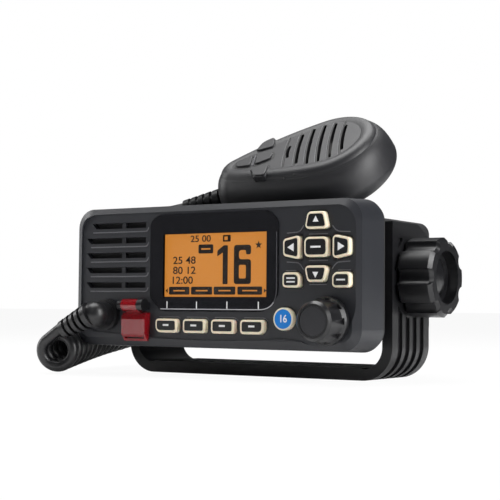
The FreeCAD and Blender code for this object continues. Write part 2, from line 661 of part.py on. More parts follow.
def make_antenna_socket():
    y0 = CHASSIS_REAR - FIN_DEEP
    flange = plate(rounded(17.0, 17.0, 2.0, y0, ANTENNA_X, ANTENNA_Z), 1.8)
    barrel = disc(ANTENNA_X, ANTENNA_Z, ANTENNA_R, y0 + 1.8, y0 + ANTENNA_LENGTH)
    tail = disc(ANTENNA_X, ANTENNA_Z, 6.0 - SEAT, y0 - CHASSIS_WALL, y0)
    bore = disc(ANTENNA_X, ANTENNA_Z, 5.6, y0 + 4, y0 + ANTENNA_LENGTH + 1)
    insert = disc(ANTENNA_X, ANTENNA_Z, 2.0, y0 + 3, y0 + ANTENNA_LENGTH - 1.0)
    return flange.fuse(barrel).fuse(tail).cut(bore).fuse(insert).removeSplitter()


def make_inlet(x, z, wall_r, cord_r):
    """A moulded grommet in the rear wall, bored for the lead that an installer wires in."""
    y0 = CHASSIS_REAR - FIN_DEEP
    profile = [(cord_r, -CHASSIS_WALL - 1), (wall_r - SEAT, -CHASSIS_WALL - 1), (wall_r - SEAT, 0), (wall_r + 2.0, 0),
               (wall_r + 2.0, 2.5), (wall_r, 4.0), (wall_r - 1.0, 9.0), (cord_r, 9.0)]
    pts = [xz(x + r, z, y0 + d) for r, d in profile]
    return Part.Face(Part.makePolygon(pts + pts[:1])).revolve(xz(x, z, y0), V(0, 1, 0), 360)


def make_main_board():
    y0, y1 = GASKET_REAR + 4, CHASSIS_REAR - FIN_DEEP - CHASSIS_WALL - 1.5
    half = CHASSIS_W / 2 - CHASSIS_WALL - 0.3
    z = PANEL_Z - 12.0
    board = box(-half, half, y0, y1, z, z + 1.6)
    shield = box(-40, 8, y0 + 20, y1 - 8, z + 1.6, z + 12)
    module = box(18, 52, y1 - 24, y1 - 2, z + 1.6, z + 10)
    return board.fuse(shield).fuse(module).removeSplitter()


def make_chassis_screws():
    """Four screws through the chassis flange into the back of the panel."""
    screws = []
    for sx in (-1, 1):
        for sz in (-1, 1):
            x, z = sx * (FLANGE_W / 2 - 4.6), PANEL_Z + sz * (FLANGE_H / 2 - 8.0)
            head = Part.makeCylinder(2.6, 1.6, V(x, GASKET_REAR + FLANGE_T + 0.02, z), V(0, 1, 0))
            drive = Part.makeCylinder(1.2, 1.0, V(x, GASKET_REAR + FLANGE_T + 0.9, z), V(0, 1, 0))
            screws.append(head.cut(drive))
    return Part.makeCompound(screws)


# the bracket and its clamp knobs

def yoke_wire(inset, y):
    """The U of the bracket seen from the front, drawn in from its outer face by inset."""
    half, low, r = BRACKET_W / 2 - inset, inset, CORNER_OUT - inset
    k = r * (1 - math.sqrt(0.5))
    left = [V(-half, y, ARM_TOP), V(-half, y, low + r), V(-half + k, y, low + k), V(-half + r, y, low)]
    right = [V(half - r, y, low), V(half - k, y, low + k), V(half, y, low + r), V(half, y, ARM_TOP)]
    return [Part.LineSegment(left[0], left[1]), Part.Arc(left[1], left[2], left[3]),
            Part.LineSegment(left[3], right[0]), Part.Arc(right[0], right[1], right[2]),
            Part.LineSegment(right[2], right[3])]


def yoke_band(outer, inner, y0, y1):
    """The solid between two U lines, from y0 to y1."""
    a, b = yoke_wire(outer, y0), yoke_wire(inner, y0)
    ends = [Part.LineSegment(a[-1].EndPoint, b[-1].EndPoint), Part.LineSegment(b[0].StartPoint, a[0].StartPoint)]
    edges = [e.toShape() for e in a] + [ends[0].toShape()] + [e.toShape() for e in reversed(b)] + [ends[1].toShape()]
    return Part.Face(Part.Wire(Part.__sortEdges__(edges))).extrude(V(0, y1 - y0, 0))


def make_bracket():
    half = BRACKET_DEPTH / 2
    yoke = yoke_band(0.0, ARM_T, -half, half)
    for side in (-1, 1):
        x = side * BRACKET_W / 2 - side * ARM_T / 2
        corner = [V(x - 4, half + 1, ARM_TOP + 1), V(x - 4, half - ARM_SLOPE_Y, ARM_TOP + 1),
                  V(x - 4, half - ARM_SLOPE_Y, ARM_TOP), V(x - 4, half + 1, ARM_TOP - ARM_SLOPE_Z)]
        yoke = yoke.cut(Part.Face(Part.makePolygon(corner + corner[:1])).extrude(V(8, 0, 0)))
    for i in range(RIB_COUNT):
        y = (i - (RIB_COUNT - 1) / 2) * RIB_PITCH
        groove = yoke_band(-1.0, RIB_DEEP, y - RIB_GROOVE / 2, y + RIB_GROOVE / 2)
        top = box(-BRACKET_W, BRACKET_W, -half, half, ARM_TOP - RIB_TOP_MARGIN, ARM_TOP + 1)
        foot = box(-MOUNT_X / 2 - 12, MOUNT_X / 2 + 12, -half, half, -2, FOOT_T)
        yoke = yoke.cut(groove.cut(top).cut(foot))
    flat = BRACKET_W / 2 - CORNER_OUT
    yoke = yoke.fuse(box(-flat, flat, -half, half, ARM_T - 1, FOOT_T))
    for side in (-1, 1):
        x = side * BRACKET_W / 2
        boss = Part.makeCylinder(BOSS_R, ARM_T - 1, V(x - side * (ARM_T - 1), 0, AXIS_Z), V(side, 0, 0))
        hole = Part.makeCylinder(BOLT_R + 0.25, ARM_T + 4, V(x - side * (ARM_T + 2), 0, AXIS_Z), V(side, 0, 0))
        yoke = yoke.fuse(boss).cut(hole)
    for sx in (-1, 1):
        for sy in (-1, 1):
            yoke = yoke.cut(Part.makeCylinder(MOUNT_R, FOOT_T + 2, V(sx * MOUNT_X / 2, sy * MOUNT_Y / 2, -1)))
    return yoke.removeSplitter()


def lobed_wire(radius, x, side):
    """A knob outline: lobes of a large arc with a scallop between two of them."""
    edges = []
    step = 2 * math.pi / KNOB_LOBES
    dent = radius * 0.86
    for i in range(KNOB_LOBES):
        a = i * step
        at = lambda r, t: V(x, r * math.cos(t), AXIS_Z + r * math.sin(t))
        p = [at(radius, a - 0.27 * step), at(radius, a), at(radius, a + 0.27 * step), at(dent, a + 0.5 * step),
             at(radius, a + 0.73 * step)]
        edges.append(Part.Arc(p[0], p[1], p[2]).toShape())
        edges.append(Part.Arc(p[2], p[3], p[4]).toShape())
    return Part.Wire(edges)


def make_clamp_knob(side):
    x0 = side * (BRACKET_W / 2 + 0.3)
    x1 = x0 + side * KNOB_W
    c = KNOB_CHAMFER
    knob = Part.makeLoft([lobed_wire(KNOB_R - c, x0, side), lobed_wire(KNOB_R, x0 + side * c, side),
                          lobed_wire(KNOB_R, x1 - side * c, side), lobed_wire(KNOB_R - c, x1, side)], True, True)
    recess = Part.makeCylinder(KNOB_RECESS_R, KNOB_RECESS + 1, V(x1 - side * KNOB_RECESS, 0, AXIS_Z), V(side, 0, 0))
    knob = knob.cut(recess)
    floor = x1 - side * KNOB_RECESS
    ball = (KNOB_DOME_R ** 2 + KNOB_DOME_H ** 2) / (2 * KNOB_DOME_H)
    sphere = Part.makeSphere(ball, V(floor - side * (ball - KNOB_DOME_H), 0, AXIS_Z))
    limit = Part.makeCylinder(KNOB_DOME_R + 1, KNOB_DOME_H + 1.5, V(floor - side * 1.0, 0, AXIS_Z), V(side, 0, 0))
    knob = knob.fuse(sphere.common(limit))
    socket = Part.makeCylinder(BOLT_R, 9.0, V(x0 - side * 1.0, 0, AXIS_Z), V(side, 0, 0))
    return knob.cut(socket).removeSplitter()


def make_clamp_bolt(side):
    start = side * (BRACKET_W / 2 + 0.3 + 8.0)
    bolt = Part.makeCylinder(BOLT_R, 8.0 + 0.3 + ARM_T + WASHER_T + 2 * SEAT + 6.0, V(start, 0, AXIS_Z), V(-side, 0, 0))
    return bolt


def make_washer(side):
    x = side * (BRACKET_W / 2 - ARM_T - SEAT - WASHER_T)
    ring = Part.makeCylinder(WASHER_R, WASHER_T, V(x, 0, AXIS_Z), V(side, 0, 0))
    return ring.cut(Part.makeCylinder(BOLT_R + 0.25, WASHER_T + 2, V(x - side, 0, AXIS_Z), V(side, 0, 0)))


# the cord

def biarc(p0, t0, p1, t1):
    """Two tangent arcs from p0 with direction t0 to p1 with direction t1."""
    v = p1 - p0
    t = t0 + t1
    a = 2 * (1 - t0.dot(t1))
    b = v.dot(t)
    d = (-b + math.sqrt(b * b + a * v.dot(v))) / a if a > 1e-9 else v.dot(v) / (4 * v.dot(t1))
    mid = (p0 + t0 * d + p1 - t1 * d) * 0.5
    return [arc_from(p0, t0, mid), arc_from(p1, t1 * -1, mid, True)]


def arc_from(p, t, q, back=False):
    """The arc from p in direction t to q; back gives it from q to p."""
    chord = q - p
    half = chord * 0.5
    away = t - chord * (t.dot(chord) / chord.dot(chord))
    if away.Length < 1e-6:
        return Part.LineSegment(q, p).toShape() if back else Part.LineSegment(p, q).toShape()
    angle = t.getAngle(chord)
    away.normalize()
    m = p + half + away * (half.Length * math.tan(angle / 2))
    return Part.Arc(q, m, p).toShape() if back else Part.Arc(p, m, q).toShape()


def rounded_route(points):
    """Straight runs joined by tangent arcs. Gives the edges, and prints the least arc radius."""
    pts = [V(*p) for p in points]
    edges, radii, here = [], [], pts[0]
    for a, b, c in zip(pts, pts[1:], pts[2:]):
        u, w = (b - a), (c - b)
        short = min(u.Length, w.Length)
        u.normalize()
        w.normalize()
        turn = u.getAngle(w)
        cut = 0.45 * short
        radii.append(cut / math.tan(turn / 2))
        p, q = b - u * cut, b + w * cut
        bisect = w - u
        bisect.normalize()
        centre = b + bisect * (radii[-1] / math.cos(turn / 2))
        m = centre - bisect * radii[-1]
        edges.append(Part.LineSegment(here, p).toShape())
        edges.append(Part.Arc(p, m, q).toShape())
        here = q
    edges.append(Part.LineSegment(here, pts[-1]).toShape())
    return edges, radii


def sweep(edges, profile):
    """Sweep a closed profile along the edges and close its ends."""
    shell = Part.BRepOffsetAPI.MakePipeShell(Part.Wire(edges))
    shell.add(profile)
    shell.build()
    shell.makeSolid()
    return shell.shape()


def section_ring(centre, direction, radius, sides):
    """The cord's section square to direction: a circle, or an even polygon of the same area."""
    direction = V(direction).normalize()
    if sides == 0:
        return Part.Wire([Part.Circle(centre, direction, radius).toShape()])
    side = direction.cross(V(0, 0, 1)).normalize()
    up = side.cross(direction)
    r = radius * math.sqrt(2 * math.pi / (sides * math.sin(2 * math.pi / sides)))
    pts = [centre + side * (r * math.cos(2 * math.pi * k / sides)) + up * (r * math.sin(2 * math.pi * k / sides))
           for k in range(sides)]
    return Part.makePolygon(pts + pts[:1])


def curl_points():
    """Points and directions of the helix round CURL_LINE, four to a turn, left-handed."""
    edges, radii = rounded_route(CURL_LINE)
    line = Part.Wire(edges)
    turns = int(line.Length / CURL_PITCH) + (CURL_END - CURL_START) / 360.0
    steps = round(4 * turns)
    fine = 16 * steps
    centres = line.discretize(Number=fine + 1)
    tangent = (centres[1] - centres[0]).normalize()
    right = tangent.cross(V(0, 0, 1)).normalize()
    path = []
    for k, c in enumerate(centres):
        if 0 < k < fine:
            tangent = (centres[k + 1] - centres[k - 1]).normalize()
        right = (right - tangent * right.dot(tangent)).normalize()
        up = right.cross(tangent)
        a = math.radians(CURL_START) + 2 * math.pi * turns * k / fine
        path.append(c + (right * math.cos(a) + up * math.sin(a)) * CURL_R)
    points = []
    for k in range(0, fine + 1, 16):
        a, b = path[max(k - 1, 0)], path[min(k + 1, fine)]
        points.append((path[k], (b - a).normalize()))
    return points, path, min(radii)


def least_gap(path, width):
    """The least distance between the tube's turns, on sampled points of its middle line."""
    least = 1e9
    pts = path[::2]
    skip = 20
    for i, p in enumerate(pts):
        for q in pts[i + skip:i + 4 * skip]:
            least = min(least, p.distanceToPoint(q))
    return least - width


def make_curly_cord():
    points, path, bend = curl_points()
    start, t_start = points[0]
    end, t_end = points[-1]
    lead_in = start - t_start * BOOT_LEAD
    lead_out = end + t_end * WIRE_D
    edges = [Part.LineSegment(lead_in, start).toShape()]
    for (p, t), (q, s) in zip(points, points[1:]):
        edges += biarc(p, t, q, s)
    edges.append(Part.LineSegment(end, lead_out).toShape())
    cord = sweep(edges, section_ring(lead_in, t_start, WIRE_D / 2, 6))
    length = sum(e.Length for e in edges)
    print("curly cord: %d turns, length %.0f, self gap %.2f, bend of its line %.0f"
          % (round((len(points) - 1) / 4), length, least_gap(path, WIRE_D), bend))
    print("  volume over section times length %.4f" % (cord.Volume / (math.pi * WIRE_D ** 2 / 4 * length)))
    return cord, lead_in, t_start, lead_out, t_end


def cord_lead_points(start, direction):
    """The lead's route: off the last curl, over the left arm and the chassis, to the microphone."""
    end = MIC_PLACE.multVec(V(MIC_TAIL - MIC_BOOT_LENGTH, MIC_AXIS, MIC_SPLIT))
    inward = MIC_PLACE.Rotation.multVec(V(1, 0, 0))
    first = start + direction * 14.0
    last = end - inward * 14.0
    return [tuple(start), tuple(first)] + list(LEAD_LINE) + [tuple(last), tuple(end)]


def make_cord_lead(start, direction):
    edges, radii = rounded_route(cord_lead_points(start, direction))
    tube = sweep(edges, section_ring(start, direction, WIRE_D / 2, 0))
    length = sum(e.Length for e in edges)
    print("cord lead: length %.0f, radii %s" % (length, " ".join("%.0f" % r for r in radii)))
    print("  volume over section times length %.4f" % (tube.Volume / (math.pi * WIRE_D ** 2 / 4 * length)))
    return tube


def boot_profile(length, r0, r1, slots):
    """Half section of a segmented strain relief: rings parted by narrow grooves."""
    core = r1 - 1.2
    pitch = length / (slots + 1)
    pts = [(0.0, 0.0), (0.0, r0)]
    for k in range(slots):
        x = (k + 1) * pitch
        r = r0 + (r1 - r0) * x / length
        pts += [(x - 0.7, r), (x - 0.7, core), (x + 0.7, core), (x + 0.7, r)]
    return pts + [(length, r1), (length, 0.0)]


def boot(base, direction, length, r0, r1, slots):
    """A strain relief from base along direction."""
    d = V(direction).normalize()
    side = d.cross(V(0, 0, 1)).normalize()
    pts = [base + d * x + side * r for x, r in boot_profile(length, r0, r1, slots)]
    return Part.Face(Part.makePolygon(pts + pts[:1])).revolve(base, d, 360)


def make_cord_gland(lead_in, direction):
    """The gland on the panel: a round foot, a knuckle that turns down, and the slotted relief."""
    foot = disc(GLAND_X, GLAND_Z, GLAND_R, FIELD_FACE - 2.6, FIELD_FACE)
    neck = disc(GLAND_X, GLAND_Z, GLAND_R - 1.4, FIELD_FACE - GLAND_OUT, FIELD_FACE)
    knuckle = Part.makeSphere(BOOT_R0 + 0.3, xz(GLAND_X, GLAND_Z, FIELD_FACE - GLAND_OUT))
    base = lead_in - direction * BOOT_LENGTH
    relief = boot(base, direction, BOOT_LENGTH, BOOT_R0, BOOT_R1, BOOT_SLOTS)
    tail = disc(GLAND_X, GLAND_Z, WIRE_D / 2 + 1.0 - SEAT, FIELD_FACE, INNER_FACE + 2.0)
    return foot.fuse(neck).fuse(knuckle).fuse(relief).fuse(tail).removeSplitter()


# the microphone, in its own frame

def mic_outline(inset, z, tail_shift=0.0):
    """The outline of the microphone at height z: a small round tail, bowed sides and a large nose."""
    r0, r1 = MIC_TAIL_R - inset * 0.8, MIC_NOSE_R - inset
    x0, x1 = MIC_TAIL + inset + tail_shift, MIC_NOSE - inset
    c0, c1 = x0 + r0, x1 - r1
    y = MIC_AXIS
    a = math.radians(66)
    b = math.radians(98)
    p = [V(c0 + r0 * math.cos(math.pi - a), y + r0 * math.sin(a), z), V(x0, y, z),
         V(c0 + r0 * math.cos(math.pi - a), y - r0 * math.sin(a), z)]
    q = [V(c1 + r1 * math.cos(b), y - r1 * math.sin(b), z), V(x1, y, z),
         V(c1 + r1 * math.cos(b), y + r1 * math.sin(b), z)]
    bow = 2.2
    low = V((p[2].x + q[0].x) / 2, (p[2].y + q[0].y) / 2 - bow, z)
    high = V((p[0].x + q[2].x) / 2, (p[0].y + q[2].y) / 2 + bow, z)
    edges = [Part.Arc(p[0], p[1], p[2]), Part.Arc(p[2], low, q[0]), Part.Arc(q[0], q[1], q[2]),
             Part.Arc(q[2], high, p[0])]
    return Part.Wire([e.toShape() for e in edges])


def mic_loft(levels):
    return Part.makeLoft([mic_outline(inset, z) for inset, z in levels], True, False)


FRONT_LEVELS = ((0.0, MIC_SPLIT), (0.9, -9.0), (2.6, -4.5), (5.4, -1.2))
REAR_LEVELS = ((9.0, MIC_BACK), (4.2, -21.0), (0.9, -17.5), (0.0, MIC_SPLIT))


def mic_face():
    """The crowned face plate of the microphone."""
    return mic_loft(((5.4, -1.2), (6.2, 0.0), (12.0, 1.0)))


def mic_slot(i):
    x = MIC_SLOT_X + i * MIC_SLOT_PITCH
    half = MIC_SLOT_HALF[i]
    w = MIC_SLOT_W / 2
    y = MIC_AXIS
    ends = [V(x - w, y - half, 3), V(x + w, y - half, 3), V(x + w, y + half, 3), V(x - w, y + half, 3)]
    bow = 0.5
    edges = [Part.Arc(ends[0], V(x, y - half - w, 3), ends[1]),
             Part.Arc(ends[1], V(x + w - bow, y, 3), ends[2]),
             Part.Arc(ends[2], V(x, y + half + w, 3), ends[3]),
             Part.Arc(ends[3], V(x - w - bow, y, 3), ends[0])]
    return Part.Face(Part.Wire([e.toShape() for e in edges])).extrude(V(0, 0, -10))


def mic_keys():
    """Name and outline of each key: two halves of an oval on the middle line, one key on each side."""
    y = MIC_AXIS
    return (
        ("mic_key_down", [(-9.5, y - 2.6), (-1.0, y - 5.2), (-1.0, y + 5.2), (-9.5, y + 2.6)]),
        ("mic_key_up", [(0.7, y - 5.2), (9.4, y - 3.0), (9.4, y + 3.0), (0.7, y + 5.2)]),
        ("mic_key_left", [(-1.0, y + 8.0), (9.0, y + 8.0), (8.2, y + 18.0), (1.8, y + 15.6)]),
        ("mic_key_right", [(-1.0, y - 8.0), (1.8, y - 15.6), (8.2, y - 18.0), (9.0, y - 8.0)]),
    )


def mic_key_solid(points, grow, z0, z1, round_r):
    cx = sum(p[0] for p in points) / len(points)
    cy = sum(p[1] for p in points) / len(points)
    pts = []
    for x, y in points:
        d = math.hypot(x - cx, y - cy)
        pts.append(V(cx + (x - cx) * (1 + grow / d), cy + (y - cy) * (1 + grow / d), z0))
    solid = Part.Face(Part.makePolygon(pts + pts[:1])).extrude(V(0, 0, z1 - z0))
    upright = [e for e in solid.Edges if abs(e.Vertexes[0].Point.z - e.Vertexes[-1].Point.z) > 1e-6]
    return solid.makeFillet(round_r, upright)


def make_mic_front():
    outer = mic_loft(FRONT_LEVELS).fuse(mic_face())
    wall = MIC_WALL
    inner = mic_loft(((wall, MIC_SPLIT - 1), (wall, MIC_SPLIT), (wall + 0.9, -9.5), (wall + 2.8, -5.5), (wall + 5.4, -2.6)))
    shell = outer.cut(inner)
    cuts = [mic_slot(i) for i in range(MIC_SLOTS)]
    for _, points in mic_keys():
        cuts.append(mic_key_solid(points, KEY_GAP, -6.0, 4.0, 1.8))
    shell = shell.cut(Part.makeCompound(cuts))
    pocket = box(PTT_X0 - 0.3, PTT_X1 + 0.3, 15, 40, MIC_SPLIT - PTT_H / 2 - 0.3, MIC_SPLIT + PTT_H / 2 + 0.3)
    return shell.cut(pocket).removeSplitter()


def make_mic_rear():
    outer = mic_loft(REAR_LEVELS)
    wall = MIC_WALL
    inner = mic_loft(((wall + 9.0, MIC_BACK + wall), (wall + 4.2, -20.4), (wall + 0.9, -17.3), (wall, MIC_SPLIT),
                      (wall, MIC_SPLIT + 1)))
    shell = outer.cut(inner)
    pocket = box(PTT_X0 - 0.3, PTT_X1 + 0.3, 15, 40, MIC_SPLIT - PTT_H / 2 - 0.3, MIC_SPLIT + PTT_H / 2 + 0.3)
    shell = shell.cut(pocket)
    screw = Part.makeCylinder(1.6, 4, V(HANG_X, MIC_AXIS, MIC_BACK - 1))
    return shell.cut(screw).removeSplitter()


def make_mic_ptt():
    """The long talk bar in the left side."""
    grown = mic_loft(((-PTT_PROUD, MIC_SPLIT - PTT_H / 2), (-PTT_PROUD, MIC_SPLIT + PTT_H / 2)))
    bar = grown.common(box(PTT_X0, PTT_X1, 10, 60, MIC_SPLIT - PTT_H / 2, MIC_SPLIT + PTT_H / 2))
    inner = mic_loft(((5.0, MIC_SPLIT - PTT_H), (5.0, MIC_SPLIT + PTT_H)))
    return bar.cut(inner)


def make_mic_key(points):
    cap = mic_key_solid(points, 0.0, -4.6, MIC_KEY_PROUD, 1.6)
    top = [e for e in cap.Edges if min(v.Point.z for v in e.Vertexes) > MIC_KEY_PROUD - 1e-6]
    return cap.makeFillet(0.6, top)


def make_mic_board():
    """The board in the microphone that carries the key switches."""
    y = MIC_AXIS
    corners = [V(-8, y - 6, -7.0), V(2, y - 13.5, -7.0), V(32, y - 13.5, -7.0), V(32, y + 13.5, -7.0),
               V(2, y + 13.5, -7.0), V(-8, y + 6, -7.0)]
    board = Part.Face(Part.makePolygon(corners + corners[:1])).extrude(V(0, 0, 1.2))
    for _, points in mic_keys():
        cx = sum(p[0] for p in points) / len(points)
        cy = sum(p[1] for p in points) / len(points)
        board = board.fuse(Part.makeCylinder(1.6, 7.0 - 1.2 - 4.6 - MIC_KEY_TRAVEL - SEAT + 1.0, V(cx, cy, -6.8)))
    return board.removeSplitter()


def make_mic_capsule():
    return Part.makeCylinder(MIC_CAPSULE_R, MIC_CAPSULE_T, V(38.0, MIC_AXIS, -2.8 - MIC_CAPSULE_T))


def make_mic_hanger():
    """The button on the back by which the microphone hangs in its clip."""
    z = MIC_BACK
    pts = [V(HANG_X, MIC_AXIS, z), V(HANG_X + HANG_NECK_R, MIC_AXIS, z), V(HANG_X + HANG_NECK_R, MIC_AXIS, z - HANG_NECK),
           V(HANG_X + HANG_R, MIC_AXIS, z - HANG_NECK), V(HANG_X + HANG_R, MIC_AXIS, z - HANG_NECK - HANG_HEAD + 1),
           V(HANG_X + HANG_R - 1.5, MIC_AXIS, z - HANG_NECK - HANG_HEAD), V(HANG_X, MIC_AXIS, z - HANG_NECK - HANG_HEAD)]
    return Part.Face(Part.makePolygon(pts + pts[:1])).revolve(V(HANG_X, MIC_AXIS, 0), V(0, 0, 1), 360)


def make_mic_boot():
    base = V(MIC_TAIL, MIC_AXIS, MIC_SPLIT)
    relief = boot(base, V(-1, 0, 0), MIC_BOOT_LENGTH, MIC_BOOT_R0, MIC_BOOT_R1, 4)
    return relief


def on_mic(shape):
    shape.Placement = MIC_PLACE.multiply(shape.Placement)
    return shape


def main():
    save("mounting_bracket", make_bracket())
    for word, side in (("left", -1), ("right", 1)):
        save("clamp_knob_" + word, make_clamp_knob(side))
        save("clamp_bolt_" + word, make_clamp_bolt(side))
        save("friction_washer_" + word, make_washer(side))
    save("front_panel", make_front_panel())
    save("panel_gasket", make_panel_gasket())
    save("chassis", make_chassis())
    save("chassis_screws", make_chassis_screws())
    save("display_window", make_window())
    save("lcd_module", make_lcd())
    save("speaker", make_speaker())
    save("speaker_cloth", make_speaker_cloth())
    save("key_board", make_key_board())
    save("main_board", make_main_board())
    save("antenna_socket", make_antenna_socket())
    save("power_inlet", make_inlet(POWER_X, POWER_Z, 5.0, 2.6))
    save("data_inlet", make_inlet(DATA_X, DATA_Z, 4.0, 2.1))
    for i in range(4):
        save("soft_key_%d" % (i + 1), make_soft_key(i))
    for key in nav_keys():
        save(key[0], make_nav_key(key))
    save("key_blue", make_blue_key())
    save("volume_knob", make_volume_knob())
    save("volume_shaft", make_volume_shaft())
    save("volume_encoder", make_encoder())
    save("distress_cover", make_distress_cover())
    save("distress_hinge_ears", make_distress_ears())
    save("distress_hinge_pin", make_distress_pin())
    save("distress_button", make_distress_button())
    save("distress_switch", make_distress_switch())
    cord, lead_in, t_in, lead_out, t_out = make_curly_cord()
    save("curly_cord", cord)
    save("cord_gland", make_cord_gland(lead_in, t_in))
    save("cord_lead", make_cord_lead(lead_out, t_out))
    save("mic_front_shell", on_mic(make_mic_front()))
    save("mic_rear_shell", on_mic(make_mic_rear()))
    save("mic_talk_bar", on_mic(make_mic_ptt()))
    for name, points in mic_keys():
        save(name, on_mic(make_mic_key(points)))
    save("mic_board", on_mic(make_mic_board()))
    save("mic_capsule", on_mic(make_mic_capsule()))
    save("mic_hanger_button", on_mic(make_mic_hanger()))
    save("mic_cord_relief", on_mic(make_mic_boot()))


main()
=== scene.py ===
import json
import math

import bpy
from mathutils import Matrix, Vector

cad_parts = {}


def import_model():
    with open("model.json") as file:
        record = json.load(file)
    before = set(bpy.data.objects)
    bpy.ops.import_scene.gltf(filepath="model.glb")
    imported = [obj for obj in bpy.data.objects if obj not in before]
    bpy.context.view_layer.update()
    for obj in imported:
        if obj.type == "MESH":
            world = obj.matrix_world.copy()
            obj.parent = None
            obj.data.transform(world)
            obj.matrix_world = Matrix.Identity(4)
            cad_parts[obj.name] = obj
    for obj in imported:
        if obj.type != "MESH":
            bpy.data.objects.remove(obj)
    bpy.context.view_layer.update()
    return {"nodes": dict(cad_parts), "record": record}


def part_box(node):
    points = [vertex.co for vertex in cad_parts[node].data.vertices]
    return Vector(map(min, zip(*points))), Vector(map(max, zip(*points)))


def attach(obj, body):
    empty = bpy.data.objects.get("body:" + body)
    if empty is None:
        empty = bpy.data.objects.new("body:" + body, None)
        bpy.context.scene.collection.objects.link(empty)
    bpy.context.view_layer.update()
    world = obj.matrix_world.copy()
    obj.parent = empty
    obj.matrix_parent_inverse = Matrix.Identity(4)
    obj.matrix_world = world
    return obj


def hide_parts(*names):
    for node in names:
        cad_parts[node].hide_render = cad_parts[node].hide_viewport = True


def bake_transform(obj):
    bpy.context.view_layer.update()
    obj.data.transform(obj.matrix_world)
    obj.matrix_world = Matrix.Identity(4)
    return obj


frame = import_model()
nodes = frame["nodes"]

# Millimetres, with X to the right, Y to the back and Z up. Face values are from the panel's centre.
MM = 0.001
PANEL_Z = 46.5
FIELD_FACE = -56.2
KEY_PROUD = 2.4
KEY_FACE = FIELD_FACE - KEY_PROUD
LCD_LEFT, LCD_RIGHT, LCD_LOW, LCD_HIGH = -25.1, 31.1, -9.5, 19.2
LCD_FRAME = 3.5
GLASS_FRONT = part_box("display_window")[0].y / MM
LCD_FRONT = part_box("lcd_module")[0].y / MM


# shader maths

# The coordinate node's output that gives the point on the object.
OBJECT_POINT = 3


class Flow:
    """A value that runs through a finish, so that shader maths reads as Python."""

    def __init__(self, finish, socket):
        self.finish = finish
        self.socket = socket

    def math(self, operation, a, b):
        return self.finish.node("ShaderNodeMath", {"operation": operation}, {0: a, 1: b})

    def __add__(self, other):
        return self.math("ADD", self, other)

    def __rsub__(self, other):
        return self.math("SUBTRACT", other, self)

    def __mul__(self, other):
        return self.math("MULTIPLY", self, other)

    def __rmul__(self, other):
        return self.math("MULTIPLY", other, self)

    def __gt__(self, other):
        return self.math("GREATER_THAN", self, other)

    def __lt__(self, other):
        return self.math("LESS_THAN", self, other)


FINISHES = {}


class Finish:
    """One finish of the radio: a shader with plain values, and flows on what changes over the surface."""

    def __init__(self, name, color, roughness, **plain):
        self.material = bpy.data.materials.new(name)
        self.material.use_nodes = True
        self.tree = self.material.node_tree
        self.shader = self.tree.nodes["Principled BSDF"]
        self.set("Base Color", (*color, 1.0))
        self.set("Roughness", roughness)
        for socket, value in plain.items():
            self.set(socket.replace("_", " "), value)
        FINISHES[name] = self.material

    def set(self, socket, value):
        self.feed(self.shader.inputs[socket], value)
        return self

    def feed(self, socket, value):
        if isinstance(value, Flow):
            self.tree.links.new(value.socket, socket)
        else:
            socket.default_value = value

    def node(self, kind, settings=None, links=None, out=0):
        made = self.tree.nodes.new(kind)
        for name, value in (settings or {}).items():
            setattr(made, name, value)
        for name, value in (links or {}).items():
            self.feed(made.inputs[name], value)
        return Flow(self, made.outputs[out])

    def point(self):
        return self.node("ShaderNodeTexCoord", out=OBJECT_POINT)

    def place(self):
        """The point on the object, in metres, as three flows."""
        split = self.node("ShaderNodeSeparateXYZ", None, {0: self.point()})
        return [Flow(self, out) for out in split.socket.node.outputs]

    def noise(self, scale, detail=2.0):
        links = {"Vector": self.point(), "Scale": scale, "Detail": detail}
        return self.node("ShaderNodeTexNoise", None, links)

    def grain(self, scale, strength, depth):
        """A moulded or sprayed grain, as a bump."""
        height = self.noise(scale)
        bump = self.node("ShaderNodeBump", None, {"Strength": strength, "Distance": depth, "Height": height})
        return self.set("Normal", bump)

    def worn(self, roughness, spread, scale=60.0, detail=3.0):
        """Roughness that wanders a little over the surface."""
        return self.set("Roughness", self.noise(scale, detail) * (2 * spread) + (roughness - spread))


# finishes

PANEL_GREY = (0.015, 0.016, 0.020)
BRACKET_BLACK = (0.0045, 0.0045, 0.0055)
MIC_GREY = (0.010, 0.010, 0.012)
CREAM = (0.80, 0.70, 0.53)
AMBER_LIGHT = (0.66, 0.24, 0.030, 1.0)
GRAIN_SCALE = 2600.0
GRAIN_DEPTH = 0.00012
WEAR = 0.05
CORD_WEAR = 0.06
CLEAR_SHARE = 0.93


def moulded(name, color, roughness, strength=0.12):
    Finish(name, color, roughness).grain(GRAIN_SCALE, strength, GRAIN_DEPTH).worn(roughness, WEAR)


def glazing():
    """The window: printed black round a clear field over the display."""
    finish = Finish("window_glass", (0.010, 0.010, 0.012), 0.06, Coat_Weight=1.0, Coat_Roughness=0.03)
    x, _, z = finish.place()
    low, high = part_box("lcd_module")
    z0, z1 = (PANEL_Z + LCD_LOW) * MM, (PANEL_Z + LCD_HIGH) * MM
    x0, x1 = low.x + LCD_FRAME * MM, high.x - LCD_FRAME * MM
    clear = (x > x0) * (x < x1) * (z > z0) * (z < z1)
    finish.set("Alpha", 1.0 - CLEAR_SHARE * clear)


